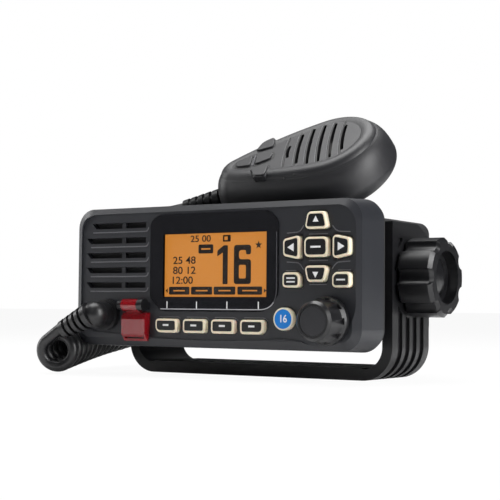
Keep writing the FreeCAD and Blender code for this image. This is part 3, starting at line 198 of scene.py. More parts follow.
def mix_finishes():
    moulded("bracket_plastic", BRACKET_BLACK, 0.42)
    moulded("panel_plastic", PANEL_GREY, 0.40)
    moulded("mic_plastic", MIC_GREY, 0.48)
    moulded("knob_black", (0.006, 0.006, 0.007), 0.30, 0.05)
    moulded("mic_rubber", (0.008, 0.008, 0.010), 0.50, 0.05)
    moulded("cast_chassis", (0.018, 0.018, 0.019), 0.5, 0.25)
    moulded("disc_grey", (0.015, 0.015, 0.018), 0.36, 0.05)
    Finish("cord_rubber", (0.008, 0.008, 0.009), 0.36).worn(0.36, CORD_WEAR)
    Finish("seal_rubber", (0.012, 0.012, 0.012), 0.7)
    Finish("screw_steel", (0.62, 0.61, 0.59), 0.30, Metallic=1.0)
    Finish("socket_nickel", (0.74, 0.72, 0.68), 0.22, Metallic=1.0)
    glazing()
    Finish("lcd_amber", (0.30, 0.13, 0.03), 0.35)
    Finish("lcd_glow", (0.12, 0.05, 0.010), 0.5, Emission_Color=AMBER_LIGHT, Emission_Strength=0.86)
    Finish("lcd_ink", (0.010, 0.005, 0.003), 0.4)
    Finish("speaker_black", (0.008, 0.008, 0.008), 0.6)
    Finish("speaker_mesh", (0.004, 0.004, 0.005), 0.9)
    Finish("board_green", (0.010, 0.075, 0.030), 0.4)
    Finish("cover_red", (0.42, 0.006, 0.014), 0.14, Transmission_Weight=0.55, IOR=1.45, Coat_Weight=0.6,
           Coat_Roughness=0.05)
    Finish("button_red", (0.36, 0.008, 0.010), 0.35)
    Finish("key_blue_face", (0.0, 0.185, 0.62), 0.28, Coat_Weight=0.5)
    Finish("key_cream", CREAM, 0.38, Subsurface_Weight=0.15, Subsurface_Scale=0.002)
    Finish("key_black", (0.006, 0.006, 0.007), 0.30)
    Finish("well_black", (0.007, 0.007, 0.008), 0.30, Coat_Weight=0.3)
    Finish("print_white", (0.80, 0.80, 0.80), 0.5)
    # Pale grey for the painted highlight along the window's lower edge.
    Finish("highlight_pale", (0.42, 0.42, 0.44), 0.4)
    # Light grey for painted highlights on edges, lips and ridges of the panel and microphone.
    Finish("highlight_grey", (0.105, 0.105, 0.115), 0.32)
    Finish("shade_black", (0.003, 0.003, 0.003), 0.6)


def dress_nodes():
    """Each CAD piece takes the finish of its slot."""
    for part in frame["record"]["subparts"]:
        mesh = nodes[part["node"]].data
        mesh.materials.clear()
        mesh.materials.append(FINISHES[part["material_slot"]])


# making pieces

PRINT_T = 0.12
INK_T = 0.03
CAPITAL_SHARE = 0.72


def settle(name, maker, body, finish):
    """Turns a curve or text object into a mesh piece that rides on a body."""
    bpy.context.view_layer.update()
    graph = bpy.context.evaluated_depsgraph_get()
    mesh = bpy.data.meshes.new_from_object(maker.evaluated_get(graph))
    mesh.transform(maker.matrix_world)
    data = maker.data
    bpy.data.objects.remove(maker)
    bpy.data.curves.remove(data)
    made = bpy.data.objects.new(name, mesh)
    bpy.context.scene.collection.objects.link(made)
    mesh.name = name
    mesh.materials.clear()
    mesh.materials.append(FINISHES[finish])
    if body:
        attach(made, body)
    return made


def upright(front):
    """Stands a drawing in the XZ plane of the face, at depth front."""
    return Matrix.Translation((0, front * MM, PANEL_Z * MM)) @ Matrix.Rotation(math.radians(90), 4, "X")


def drawing(name, loops, thickness, bevel=0.0):
    """Closed outlines in mm, filled between them, with a thickness centred on their plane."""
    curve = bpy.data.curves.new(name, "CURVE")
    curve.dimensions = "2D"
    curve.fill_mode = "BOTH"
    curve.extrude = max(thickness / 2 - bevel, 0.0) * MM
    curve.bevel_depth = bevel * MM
    curve.offset = -bevel * MM
    for loop in loops:
        spline = curve.splines.new("POLY")
        spline.points.add(len(loop) - 1)
        for point, (x, z) in zip(spline.points, loop):
            point.co = (x * MM, z * MM, 0.0, 1.0)
        spline.use_cyclic_u = True
    made = bpy.data.objects.new(name, curve)
    bpy.context.scene.collection.objects.link(made)
    return made


def on_face(name, loops, front, thickness, body, finish, bevel=0.0):
    """A flat piece of the face, whose front lies at depth front."""
    made = drawing(name, loops, thickness, bevel)
    made.matrix_world = upright(front + thickness / 2)
    settle(name, made, body, finish)


def lettered(name, text, x, z, height, front, body, finish, stretch, weight):
    """Plain digits on the face, centred at x, z."""
    curve = bpy.data.curves.new(name, "FONT")
    curve.body = text
    curve.size = height * MM / CAPITAL_SHARE
    curve.align_x = "CENTER"
    curve.align_y = "CENTER"
    curve.extrude = PRINT_T / 2 * MM
    curve.offset = weight * MM
    made = bpy.data.objects.new(name, curve)
    bpy.context.scene.collection.objects.link(made)
    shift = Matrix.Translation((x * MM, z * MM, 0)) @ Matrix.Diagonal((stretch, 1, 1, 1))
    made.matrix_world = upright(front) @ shift
    settle(name, made, body, finish)


# outlines

CLOSED_SHARE = 0.45
OPEN_SHARE = 0.48


def span(x0, x1, z0, z1):
    return [(x0, z0), (x1, z0), (x1, z1), (x0, z1)]


def oblong(cx, cz, width, height):
    return span(cx - width / 2, cx + width / 2, cz - height / 2, cz + height / 2)


def corner_arc(before, corner, after, radius, share, steps):
    """Points round one corner, which takes at most a share of each side."""
    before, corner, after = Vector(before), Vector(corner), Vector(after)
    u, w = before - corner, after - corner
    reach = min(radius, share * u.length, share * w.length)
    p, q = corner + u.normalized() * reach, corner + w.normalized() * reach
    out = []
    for k in range(steps + 1):
        t = k / steps
        out.append(tuple(p * (1 - t) ** 2 + corner * (2 * t * (1 - t)) + q * t ** 2))
    return out


def eased(loop, radius, steps=5):
    """The outline with its corners rounded, by one radius or by one for each corner."""
    out = []
    count = len(loop)
    radii = radius if isinstance(radius, tuple) else (radius,) * count
    for i in range(count):
        out += corner_arc(loop[i - 1], loop[i], loop[(i + 1) % count], radii[i], CLOSED_SHARE, steps)
    return out


def bent(points, radius, steps=6):
    """An open line with its corners rounded."""
    out = [tuple(points[0])]
    for before, corner, after in zip(points, points[1:], points[2:]):
        out += corner_arc(before, corner, after, radius, OPEN_SHARE, steps)
    return out + [tuple(points[-1])]


def strip(line, width):
    """The outline of a thin line of even width."""
    left, right = [], []
    for i, at in enumerate(line):
        along = Vector(line[min(i + 1, len(line) - 1)]) - Vector(line[max(i - 1, 0)])
        side = Vector((-along.y, along.x)).normalized() * width / 2
        left.append(tuple(Vector(at) + side))
        right.append(tuple(Vector(at) - side))
    return left + right[::-1]


def inset(loop, by):
    """A convex outline drawn in by an even distance, or grown by a negative one."""
    count = len(loop)
    area = sum(a[0] * b[1] - b[0] * a[1] for a, b in zip(loop, loop[1:] + loop[:1]))
    turn = 1 if area > 0 else -1
    out = []
    for i in range(count):
        a, b, c = (Vector(loop[(i + k) % count]) for k in (-1, 0, 1))
        u, w = (b - a).normalized(), (c - b).normalized()
        n = Vector((-u.y, u.x)) * turn
        m = Vector((-w.y, w.x)) * turn
        half = (n + m) / (1 + n.dot(m))
        out.append(tuple(b + half * by))
    return out


def ring(cx, cz, radius, steps=40):
    turns = [2 * math.pi * k / steps for k in range(steps)]
    return [(cx + radius * math.cos(a), cz + radius * math.sin(a)) for a in turns]


def star(cx, cz, radius, tips=5, waist=0.42):
    out = []
    for k in range(2 * tips):
        a = math.radians(90 + 180 / tips * k)
        r = radius if k % 2 == 0 else waist * radius
        out.append((cx + r * math.cos(a), cz + r * math.sin(a)))
    return out


def arrow(cx, cz, size, quarter_turns):
    """A triangle that points up, turned by quarter turns."""
    a = math.radians(90 * quarter_turns)
    tip = [(0, size * 0.6), (-size * 0.62, -size * 0.5), (size * 0.62, -size * 0.5)]
    return [(cx + x * math.cos(a) - z * math.sin(a), cz + x * math.sin(a) + z * math.cos(a)) for x, z in tip]


# the display

GLOW_T, GLOW_LIFT, INK_LIFT = 0.05, 0.02, 0.09
LABELS = ((-22.6, -11.0), (-10.1, 1.6), (2.4, 14.1), (15.2, 28.2))
LABEL_LOW, LABEL_HIGH, LABEL_R = -8.5, -4.9, 0.7
DASH_IN, DASH_LOW, DASH_HIGH = 2.6, -7.0, -6.4
CHANNEL_ONE = ((7.2, -3.8), (9.9, -3.8), (9.9, 13.6), (7.7, 13.6), (4.2, 11.2), (4.2, 8.6), (7.2, 10.4))
CHANNEL_SIX = ((13.2, -3.8), (22.3, -3.8), (22.3, 7.2), (15.9, 7.2), (15.9, 11.3), (19.6, 11.3), (19.6, 9.3),
               (22.3, 9.3), (22.3, 13.6), (13.2, 13.6))
DIGIT_ROWS = (
    ("lcd_power", "25 00", -5.0, 16.7, 3.0),
    ("lcd_north", "25 48", -14.0, 7.0, 3.4),
    ("lcd_west", "80 12", -14.0, 2.4, 3.4),
    ("lcd_time", "12:00", -15.3, -2.1, 3.4),
)
DIGIT_STRETCH, DIGIT_WEIGHT = 1.2, 0.05
TICK_COUNT, TICK_FIRST, TICK_PITCH, TICK_Z, TICK_W, TICK_H = 4, -22.7, 16.6, -13.2, 0.55, 3.2
WINDOW_LAYER_LIFT, WINDOW_LAYER_T = 0.03, 0.05
# The painted highlight along the window's lower edge and up its side.
EDGE_START, EDGE_IN, EDGE_RISE, EDGE_R, EDGE_STEPS, EDGE_FADES = 6.2, 0.9, 34.0, 9.0, 10, 7
LOW_EDGE_W, SIDE_EDGE_W = 0.42, 0.24


def display():
    behind = LCD_FRONT - GLOW_LIFT
    field = [span(LCD_LEFT, LCD_RIGHT, LCD_LOW, LCD_HIGH)]
    on_face("lcd_field", field, behind - GLOW_T, GLOW_T, "radio", "lcd_glow")
    ink = behind - INK_LIFT

    def inked(name, *loops):
        on_face(name, loops, ink, INK_T, "radio", "lcd_ink")

    for i, (x0, x1) in enumerate(LABELS):
        block = eased(span(x0, x1, LABEL_LOW, LABEL_HIGH), LABEL_R)
        inked(f"lcd_label_{i + 1}", block, span(x0 + DASH_IN, x1 - DASH_IN, DASH_LOW, DASH_HIGH))
    inked("lcd_left_arrow", [(-24.6, -6.7), (-23.3, -5.7), (-23.3, -7.7)])
    inked("lcd_right_arrow", [(30.4, -6.7), (29.1, -5.7), (29.1, -7.7)])
    inked("lcd_state", eased(span(-6.2, 2.0, 10.1, 14.2), 0.8), span(-4.6, 0.4, 11.8, 12.5))
    for name, text, x, z, height in DIGIT_ROWS:
        lettered(name, text, x, z, height, ink, "radio", "lcd_ink", DIGIT_STRETCH, DIGIT_WEIGHT)
    inked("lcd_channel_one", eased(CHANNEL_ONE, 0.5))
    inked("lcd_channel_six", eased(CHANNEL_SIX, 1.5), eased(span(15.9, 19.6, -1.3, 4.7), 0.8))
    inked("lcd_star", star(26.2, 13.4, 1.9))
    inked("lcd_cell", eased(span(7.2, 11.4, 15.2, 18.2), 0.5), span(8.0, 9.8, 15.9, 17.5))


def window_ticks_and_highlight():
    """Tick marks under the display, and a painted highlight along the lower edge of the window that fades up
    its side.
    """
    front = GLASS_FRONT - WINDOW_LAYER_LIFT

    def printed(name, loop, finish):
        on_face(name, [loop], front, WINDOW_LAYER_T, "radio", finish)

    for k in range(TICK_COUNT):
        x = TICK_FIRST + TICK_PITCH * k
        printed(f"window_tick_{k + 1}", oblong(x, TICK_Z, TICK_W, TICK_H), "print_white")
    low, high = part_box("display_window")
    left, right = low.x / MM + EDGE_START, high.x / MM - EDGE_IN
    base = low.z / MM - PANEL_Z + EDGE_IN
    edge = bent([(left, base), (right, base), (right, base + EDGE_RISE)], EDGE_R, EDGE_STEPS)
    # Painted highlight: pale along the lower edge, a darker grey up the side.
    printed("window_low_highlight", strip(edge[:EDGE_FADES + 1], LOW_EDGE_W), "highlight_pale")
    printed("window_side_highlight", strip(edge[EDGE_FADES:], SIDE_EDGE_W), "highlight_grey")


# the keys

NAV_X, NAV_Z, STEP_X, STEP_Z = 57.0, 11.8, 12.2, 11.4
UP_H, DOWN_H, SIDE_H, ENTER_H, CORNER_H = 7.4, 7.0, 10.6, 8.6, 6.6
SIDE_W, MIDDLE_W, CORNER_W, CORNER_Z = 8.4, 11.7, 8.8, -2.2
KEY_CUT = 1.7
FACE_IN, FACE_R, ENTER_FACE_R, FACE_BEVEL = 1.0, 1.1, 1.7, 0.04
MARK_LIFT, MARK_T, MARK_W = 0.06, 0.1, 4.2
ARROW_OUT, TALL_ARROW, WIDE_ARROW = 0.4, 2.3, 2.9
BED_GROWN, CORNER_BED_GROWN, BED_R = 0.95, 0.45, 1.8
BED_GAP, BED_GAP_R, BED_LIFT, BED_T = 0.2, 1.5, 0.06, 0.12
SOFT_COUNT, SOFT_FIRST, SOFT_PITCH, SOFT_Z, SOFT_EDGE_Z = 4, -21.7, 15.55, -22.7, -18.7
SOFT_FACE_W, SOFT_FACE_H, SOFT_R, SOFT_END_R = 10.2, 4.3, 0.9, 2.2
SOFT_FACE_UP, SOFT_MARK_UP, SOFT_MARK_W, SOFT_MARK_H = 0.1, 0.3, 3.2, 0.85
SOFT_LINE, SOFT_LINE_R, SOFT_LINE_W = ((-5.4, 0.0), (5.4, 0.0), (7.0, -1.3)), 1.2, 0.34
BLUE = (41.1, -19.0)
BLUE_R, BLUE_BAND, BLUE_LAP = 4.9, 0.7, 0.02
BAND_LIFT, BAND_T, DISC_LIFT, DISC_T = 0.06, 0.12, 0.14, 0.2
BLUE_DIGIT_LIFT, BLUE_DIGIT_H, BLUE_DIGIT_STRETCH, BLUE_DIGIT_WEIGHT = 0.18, 3.3, 0.9, 0.06
RAISED_T, RAISED_SUNK, RAISED_R, RAISED_W, RAISED_BEVEL = 0.3, 0.1, 2.6, 0.42, 0.08


def nav_outlines():
    """Each key's outline, as on the panel."""
    plan = {
        "key_up": (NAV_X, NAV_Z + STEP_Z, MIDDLE_W, UP_H, ("tl", "tr")),
        "key_down": (NAV_X, NAV_Z - STEP_Z, MIDDLE_W, DOWN_H, ("bl", "br")),
        "key_left": (NAV_X - STEP_X, NAV_Z, SIDE_W, SIDE_H, ("tl", "bl")),
        "key_right": (NAV_X + STEP_X, NAV_Z, SIDE_W, SIDE_H, ("tr", "br")),
        "key_enter": (NAV_X, NAV_Z, MIDDLE_W, ENTER_H, ()),
    }
    out = {}
    for name, (cx, cz, w, h, cuts) in plan.items():
        l, r, b, t = cx - w / 2, cx + w / 2, cz - h / 2, cz + h / 2
        dx, dz = (0.0, KEY_CUT) if name in ("key_left", "key_right") else (KEY_CUT, 0.0)
        corner = {"bl": (l, b, dx, dz), "br": (r, b, -dx, dz), "tr": (r, t, -dx, -dz), "tl": (l, t, dx, -dz)}
        out[name] = [(x + ex, z + ez) if tag in cuts else (x, z) for tag, (x, z, ex, ez) in corner.items()]
    (l, b), (r, _), (_, t), _ = oblong(NAV_X - STEP_X, CORNER_Z, CORNER_W, CORNER_H)
    out["key_menu"] = [(l, b), (r, b), (r, t - KEY_CUT), (r - KEY_CUT, t), (l, t)]
    (l, b), (r, _), (_, t), _ = oblong(NAV_X + STEP_X, CORNER_Z, CORNER_W, CORNER_H)
    out["key_clear"] = [(l, b), (r, b), (r, t), (l + KEY_CUT, t), (l, t - KEY_CUT)]
    return out


def key_front(body, face, marks):
    """A key's black face and its white marks."""
    on_face(body + "_face", [face], KEY_FACE - PRINT_T, 2 * PRINT_T, body, "key_black", bevel=FACE_BEVEL)
    on_face(body + "_mark", marks, KEY_FACE - PRINT_T - MARK_LIFT, MARK_T, body, "print_white")


def nav_keys():
    left, right = NAV_X - STEP_X, NAV_X + STEP_X
    marks = {
        "key_up": [arrow(NAV_X, NAV_Z + STEP_Z + ARROW_OUT, TALL_ARROW, 0)],
        "key_down": [arrow(NAV_X, NAV_Z - STEP_Z - ARROW_OUT, TALL_ARROW, 2)],
        "key_left": [arrow(left, NAV_Z, WIDE_ARROW, 1)],
        "key_right": [arrow(right, NAV_Z, WIDE_ARROW, 3)],
        "key_enter": [oblong(NAV_X, NAV_Z, 5.0, 0.8)],
        "key_menu": [oblong(left, CORNER_Z + 0.8, MARK_W, 0.6), oblong(left, CORNER_Z - 0.8, MARK_W, 0.6)],
        "key_clear": [oblong(right, CORNER_Z, MARK_W, 0.7)],
    }
    for name, outline in nav_outlines().items():
        radius = ENTER_FACE_R if name == "key_enter" else FACE_R
        key_front(name, eased(inset(outline, FACE_IN), radius), marks[name])


def nav_well():
    """The dark bed that hugs the keys, and the raised edges between them, light grey as painted highlights.
    """
    for name, outline in nav_outlines().items():
        grown = CORNER_BED_GROWN if name in ("key_menu", "key_clear") else BED_GROWN
        loops = [eased(inset(outline, -grown), BED_R), eased(inset(outline, -BED_GAP), BED_GAP_R)]
        on_face(f"{name}_bed", loops, FIELD_FACE - BED_LIFT, BED_T, "radio", "well_black")
    # Light grey lines on the edges between the keys: painted highlights.
    lines = {
        "over_enter": [(-4.6, 5.6), (4.6, 5.6)],
        "under_enter": [(-4.6, -5.7), (4.6, -5.7)],
        "under_down": [(-4.2, -15.9), (4.2, -15.9)],
        "over_left": [(-15.6, 6.3), (-9.2, 6.6), (-7.2, 9.4)],
        "over_right": [(6.8, 9.0), (9.0, 6.5), (15.4, 6.2)],
        "under_left": [(-15.6, -6.2), (-9.2, -6.6), (-7.2, -9.6)],
        "under_right": [(6.8, -9.2), (9.0, -6.5), (15.4, -6.2)],
        "over_menu": [(-16.0, -9.9), (-10.8, -9.9)],
        "over_clear": [(9.6, -9.9), (15.6, -9.9)],
    }
    for name, line in lines.items():
        placed = [(NAV_X + x, NAV_Z + z) for x, z in line]
        raised_highlight("edge_" + name, bent(placed, RAISED_R))


def raised_highlight(name, line, width=RAISED_W, bevel=RAISED_BEVEL):
    """A thin raised edge on the panel, coloured light grey as a painted highlight."""
    front = FIELD_FACE - RAISED_T + RAISED_SUNK
    on_face(name, [strip(line, width)], front, RAISED_T, "radio", "highlight_grey", bevel)


def soft_keys():
    for i in range(SOFT_COUNT):
        x = SOFT_FIRST + i * SOFT_PITCH
        body = f"soft_key_{i + 1}"
        lower_left = SOFT_END_R if i == 0 else SOFT_R
        lower_right = SOFT_END_R if i == SOFT_COUNT - 1 else SOFT_R
        outline = oblong(x, SOFT_Z + SOFT_FACE_UP, SOFT_FACE_W, SOFT_FACE_H)
        face = eased(outline, (lower_left, lower_right, SOFT_R, SOFT_R))
        key_front(body, face, [oblong(x, SOFT_Z + SOFT_MARK_UP, SOFT_MARK_W, SOFT_MARK_H)])
        # A light grey line under each key, a painted highlight on the moulding.
        line = [(x + dx, SOFT_EDGE_Z + dz) for dx, dz in SOFT_LINE]
        raised_highlight(f"soft_highlight_{i + 1}", bent(line, SOFT_LINE_R), SOFT_LINE_W)


def blue_key():
    band = [ring(*BLUE, BLUE_R), ring(*BLUE, BLUE_R - BLUE_BAND)]
    on_face("key_blue_ring", band, KEY_FACE - BAND_LIFT, BAND_T, "key_blue", "key_cream")
    disc = [ring(*BLUE, BLUE_R - BLUE_BAND + BLUE_LAP)]
    on_face("key_blue_disc", disc, KEY_FACE - DISC_LIFT, DISC_T, "key_blue", "key_blue_face")
    front = KEY_FACE - BLUE_DIGIT_LIFT
    lettered("key_blue_digits", "16", *BLUE, BLUE_DIGIT_H, front, "key_blue", "print_white",
             BLUE_DIGIT_STRETCH, BLUE_DIGIT_WEIGHT)


# the volume knob and the speaker

VOLUME = (62.6, -19.6)
VOLUME_DISC_R, VOLUME_DISC_IN, VOLUME_DISC_T, VOLUME_DISC_BEVEL = 6.3, 0.2, 0.3, 0.08
SLOT_COUNT, SLOT_TOP, SLOT_PITCH, SLOT_H = 5, 24.0, 7.0, 2.7
LIP_DROP, LIP_LEFT, FIRST_LIP_LEFT, LIP_RIGHT = 3.0, -68.6, -67.4, -34.8
LIP_OUT, LIP_RISE, LIP_R, LIP_W, LIP_BEVEL = 1.0, 1.8, 1.6, 0.5, 0.1
POST_X, POST_W, POST_DEEP, POST_T = -49.2, 2.2, 0.8, 1.2


def volume_face():
    """The smooth disc on the knob's front."""
    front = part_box("volume_knob")[0].y / MM
    disc = [ring(*VOLUME, VOLUME_DISC_R)]
    deep = front + VOLUME_DISC_IN
    on_face("volume_disc", disc, deep, VOLUME_DISC_T, "volume_dial", "disc_grey", bevel=VOLUME_DISC_BEVEL)


def speaker_slots():
    """A raised lip under each slot, light grey as a painted highlight, and the small post inside it."""
    for i in range(SLOT_COUNT):
        z = SLOT_TOP - SLOT_PITCH * i
        left = FIRST_LIP_LEFT if i == 0 else LIP_LEFT
        low = z - LIP_DROP
        lip = [(left, low), (LIP_RIGHT, low), (LIP_RIGHT + LIP_OUT, low + LIP_RISE)]
        raised_highlight(f"slot_lip_highlight_{i + 1}", bent(lip, LIP_R), LIP_W, LIP_BEVEL)
        post = [oblong(POST_X, z, POST_W, SLOT_H)]
        deep = FIELD_FACE + POST_DEEP
        on_face(f"slot_post_{i + 1}", post, deep, POST_T, "radio", "panel_plastic")


# the cord

WIRE_D = 5.2
CURL_R = 7.4
CURL_TURNS = 23 + 245.0 / 360.0
CURL_START = 115.0
TURN_POINTS = 16
READ_STEPS, CURL_STEPS, LEAD_STEPS, THIN_STEPS = 40, 3, 16, 6
BOOT_LEAD = 9.0
CURL_LINE = (
    (-79.0, -69.0, 10.5),
    (-94.0, -27.0, 15.8),
    (-102.5, 19.0, 20.6),
    (-104.0, 52.0, 30.0),
    (-101.0, 74.0, 46.0),
)
LEAD_LINE = (
    (-92.0, 48.0, 73.0),
    (-86.0, 28.0, 80.4),
    (-76.0, 7.0, 80.8),
    (-67.0, -22.0, 79.8),
)
LEAD_RUN = 14.0
MIC_AT = (5.0, -25.0, 101.3)
MIC_TURN, MIC_RISE, MIC_TILT = 12.6, 12.3, 38.0
MIC_TAIL, MIC_AXIS, MIC_SPLIT, MIC_BOOT = -23.5, -1.5, -14.0, 19.0
MIC_PLACE = (
    Matrix.Translation(MIC_AT)
    @ Matrix.Rotation(math.radians(MIC_TURN), 4, "Z")
    @ Matrix.Rotation(math.radians(-MIC_RISE), 4, "Y")
    @ Matrix.Rotation(math.radians(MIC_TILT), 4, "X")
)


def smooth_line(name, points, thick, resolution):
    """A curve object through control points in mm."""
    curve = bpy.data.curves.new(name, "CURVE")
    curve.dimensions = "3D"
    curve.resolution_u = resolution
    curve.bevel_depth = thick / 2 * MM
    curve.bevel_resolution = 5
    curve.use_fill_caps = True
    spline = curve.splines.new("NURBS")
    spline.points.add(len(points) - 1)
    for point, at in zip(spline.points, points):
        point.co = (*(Vector(at) * MM), 1.0)
    spline.order_u = 3
    spline.use_endpoint_u = True
    made = bpy.data.objects.new(name, curve)
    bpy.context.scene.collection.objects.link(made)
    return made


def read_line(points):
    """Points in mm along the smooth line of a route."""
    route = smooth_line("route", points, 0.0, READ_STEPS)
    bpy.context.view_layer.update()
    graph = bpy.context.evaluated_depsgraph_get()
    mesh = bpy.data.meshes.new_from_object(route.evaluated_get(graph))
    out = [v.co / MM for v in mesh.vertices]
    bpy.data.meshes.remove(mesh)
    data = route.data
    bpy.data.objects.remove(route)
    bpy.data.curves.remove(data)
    return out


def even(points, count):
    """The line again, as count steps of one length."""
    far = [0.0]
    for a, b in zip(points, points[1:]):
        far.append(far[-1] + (b - a).length)
    out = []
    k = 0
    for i in range(count + 1):
        d = far[-1] * i / count
        while k < len(points) - 2 and far[k + 1] < d:
            k += 1
        step = far[k + 1] - far[k]
        out.append(points[k].lerp(points[k + 1], (d - far[k]) / step if step else 0.0))
    return out


def curl():
    """The helix round its line, with a straight run into it and out of it, and the way it leaves."""
    fine = round(TURN_POINTS * CURL_TURNS)
    centres = even(read_line(CURL_LINE), fine)
    tangent = (centres[1] - centres[0]).normalized()
    right = tangent.cross(Vector((0, 0, 1))).normalized()
    path = []
    for k, centre in enumerate(centres):
        if 0 < k < fine:
            tangent = (centres[k + 1] - centres[k - 1]).normalized()
        right = (right - tangent * right.dot(tangent)).normalized()
        up = right.cross(tangent)
        a = math.radians(CURL_START) + 2 * math.pi * CURL_TURNS * k / fine
        path.append(centre + (right * math.cos(a) + up * math.sin(a)) * CURL_R)
    into = (path[1] - path[0]).normalized()
    away = (path[-1] - path[-2]).normalized()
    before = [path[0] - into * BOOT_LEAD, path[0] - into * BOOT_LEAD / 2]
    after = [path[-1] + away * WIRE_D / 2, path[-1] + away * WIRE_D]
    return before + path + after, away


def length_of(points):
    return sum((b - a).length for a, b in zip(points, points[1:]))


def cords():
    points, away = curl()
    curly = smooth_line("cord_curls", points, WIRE_D, CURL_STEPS)
    curly.data.materials.append(FINISHES["cord_rubber"])
    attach(curly, "radio")
    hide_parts("curly_cord")
    points[0] * MM
    length_of(points) * MM
    start = points[-1]
    end = MIC_PLACE @ Vector((MIC_TAIL - MIC_BOOT, MIC_AXIS, MIC_SPLIT))
    inward = MIC_PLACE.to_3x3() @ Vector((1, 0, 0))
    route = [start, start + away * LEAD_RUN, *LEAD_LINE, end - inward * LEAD_RUN, end]
    maker = smooth_line("cord_to_mic", route, WIRE_D, LEAD_STEPS)
    lead = settle("cord_to_microphone", maker, None, "cord_rubber")
    line = read_line(route)
    start * MM
    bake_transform(lead)
    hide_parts("cord_lead")
    for face in lead.data.polygons:
        face.use_smooth = True
    start * MM
    length_of(line) * MM


# the microphone's face

MIC_NOSE, MIC_NOSE_R = 64.5, 29.0
FLANK_START, FLANK_LENGTH = -15.8, 47.3
TAIL_HALF, FLANK_SPREAD, FLANK_CURVE = 11.9, 25.6, 8.8
FACE_TOP = 1.0
FRONT_STEPS = ((0.9, -9.0), (2.6, -4.5), (5.4, -1.2), (6.2, 0.0), (12.0, FACE_TOP))
MIC_SLOT_X, MIC_SLOT_PITCH = 17.2, 5.45
CRESCENT_REACH = (20.5, 21.0, 21.5, 21.0, 20.0, 17.5)
CRESCENT_BACK, CRESCENT_BOW, CRESCENT_STEPS = 1.7, 1.5, 8
SHADE_D, SHADE_LIFT, BRIGHT_D, BRIGHT_BACK = 0.95, -0.02, 0.3, 0.75
CREASE_IN, CREASE_D, CREASE_LIFT = 4.7, 0.55, -0.05
PAD_T, PAD_IN, PAD_R, PAD_BEVEL = 1.0, 0.3, 2.2, 0.4
CONTOUR_OUT, CONTOUR_OUT_R, CONTOUR_IN_R, CONTOUR_LIFT, CONTOUR_T = 0.75, 2.4, 1.9, 0.05, 0.12
KEY_GAP_X, KEY_GAP_W, KEY_GAP_H, KEY_GAP_LIFT, KEY_GAP_T = -0.15, 0.7, 9.0, 0.35, 0.5
CREASE_SIDE = range(-11, 31, 3)
CREASE_TURN = range(-90, 71, 8)
MIC_KEYS = {
    "mic_key_down": [(-9.5, -4.1), (-1.0, -6.7), (-1.0, 3.7), (-9.5, 1.1)],
    "mic_key_up": [(0.7, -6.7), (9.4, -4.5), (9.4, 1.5), (0.7, 3.7)],
    "mic_key_left": [(-1.0, 6.5), (9.0, 6.5), (8.2, 16.5), (1.8, 14.1)],
    "mic_key_right": [(-1.0, -9.5), (1.8, -17.1), (8.2, -19.5), (9.0, -9.5)],
}


def on_mic(name, loops, height, thickness, body, finish, bevel=0.0):
    """A flat piece drawn in the microphone's own x and y, whose top is at a height over its face."""
    made = drawing(name, loops, thickness, bevel)
    scale = Matrix.Diagonal((MM, MM, MM, 1))
    lift = Matrix.Translation((0, 0, height - thickness / 2))
    made.matrix_world = scale @ MIC_PLACE @ lift @ scale.inverted()
    settle(name, made, body, finish)


def mic_inward(x, y):
    """How far a point lies inside the microphone's outline."""
    if x > FLANK_START + FLANK_LENGTH:
        return MIC_NOSE_R - math.hypot(x - MIC_NOSE + MIC_NOSE_R, y - MIC_AXIS)
    t = (x - FLANK_START) / FLANK_LENGTH
    return TAIL_HALF + FLANK_SPREAD * t - FLANK_CURVE * t * t - abs(y - MIC_AXIS)


def mic_height(x, y):
    """Height of the microphone's front at x, y."""
    inward = mic_inward(x, y)
    for (a, low), (b, high) in zip(FRONT_STEPS, FRONT_STEPS[1:]):
        if inward < b:
            return low + (high - low) * max(inward - a, 0.0) / (b - a)
    return FACE_TOP


def mic_line(name, flat, lift, thick, finish):
    """A thin round line that lies on the microphone's front."""
    points = [MIC_PLACE @ Vector((x, y, mic_height(x, y) + lift)) for x, y in flat]
    settle(name, smooth_line(name, points, thick, THIN_STEPS), "microphone", finish)


def mic_keys():
    for name, outline in MIC_KEYS.items():
        if name in ("mic_key_down", "mic_key_up"):
            # A black ring of painted shade round the two middle pads.
            contour = [eased(inset(outline, -CONTOUR_OUT), CONTOUR_OUT_R), eased(outline, CONTOUR_IN_R)]
            height = FACE_TOP + CONTOUR_LIFT
            on_mic(name + "_contour", contour, height, CONTOUR_T, "microphone", "shade_black")
        pad = [eased(inset(outline, PAD_IN), PAD_R)]
        on_mic(name + "_pad", pad, FACE_TOP + PAD_T, PAD_T, name, "mic_rubber", PAD_BEVEL)
    # A light grey strip between the two middle pads, a painted highlight.
    gap = [oblong(KEY_GAP_X, MIC_AXIS, KEY_GAP_W, KEY_GAP_H)]
    on_mic("mic_key_gap_highlight", gap, FACE_TOP + KEY_GAP_LIFT, KEY_GAP_T, "microphone", "highlight_grey")


def mic_crescents():
    """Painted shade in the dark recess of each slot, with a painted highlight along its edge."""
    for i, reach in enumerate(CRESCENT_REACH):
        x = MIC_SLOT_X + MIC_SLOT_PITCH * i
        shares = [k / CRESCENT_STEPS for k in range(-CRESCENT_STEPS, CRESCENT_STEPS + 1)]
        arc = [(x - CRESCENT_BACK + CRESCENT_BOW * s ** 2, MIC_AXIS + reach * s) for s in shares]
        bright = [(x - BRIGHT_BACK, y) for x, y in arc[1:-1]]
        mic_line(f"mic_slot_shade_{i + 1}", arc, SHADE_LIFT, SHADE_D, "shade_black")
        mic_line(f"mic_slot_highlight_{i + 1}", bright, 0.0, BRIGHT_D, "highlight_grey")


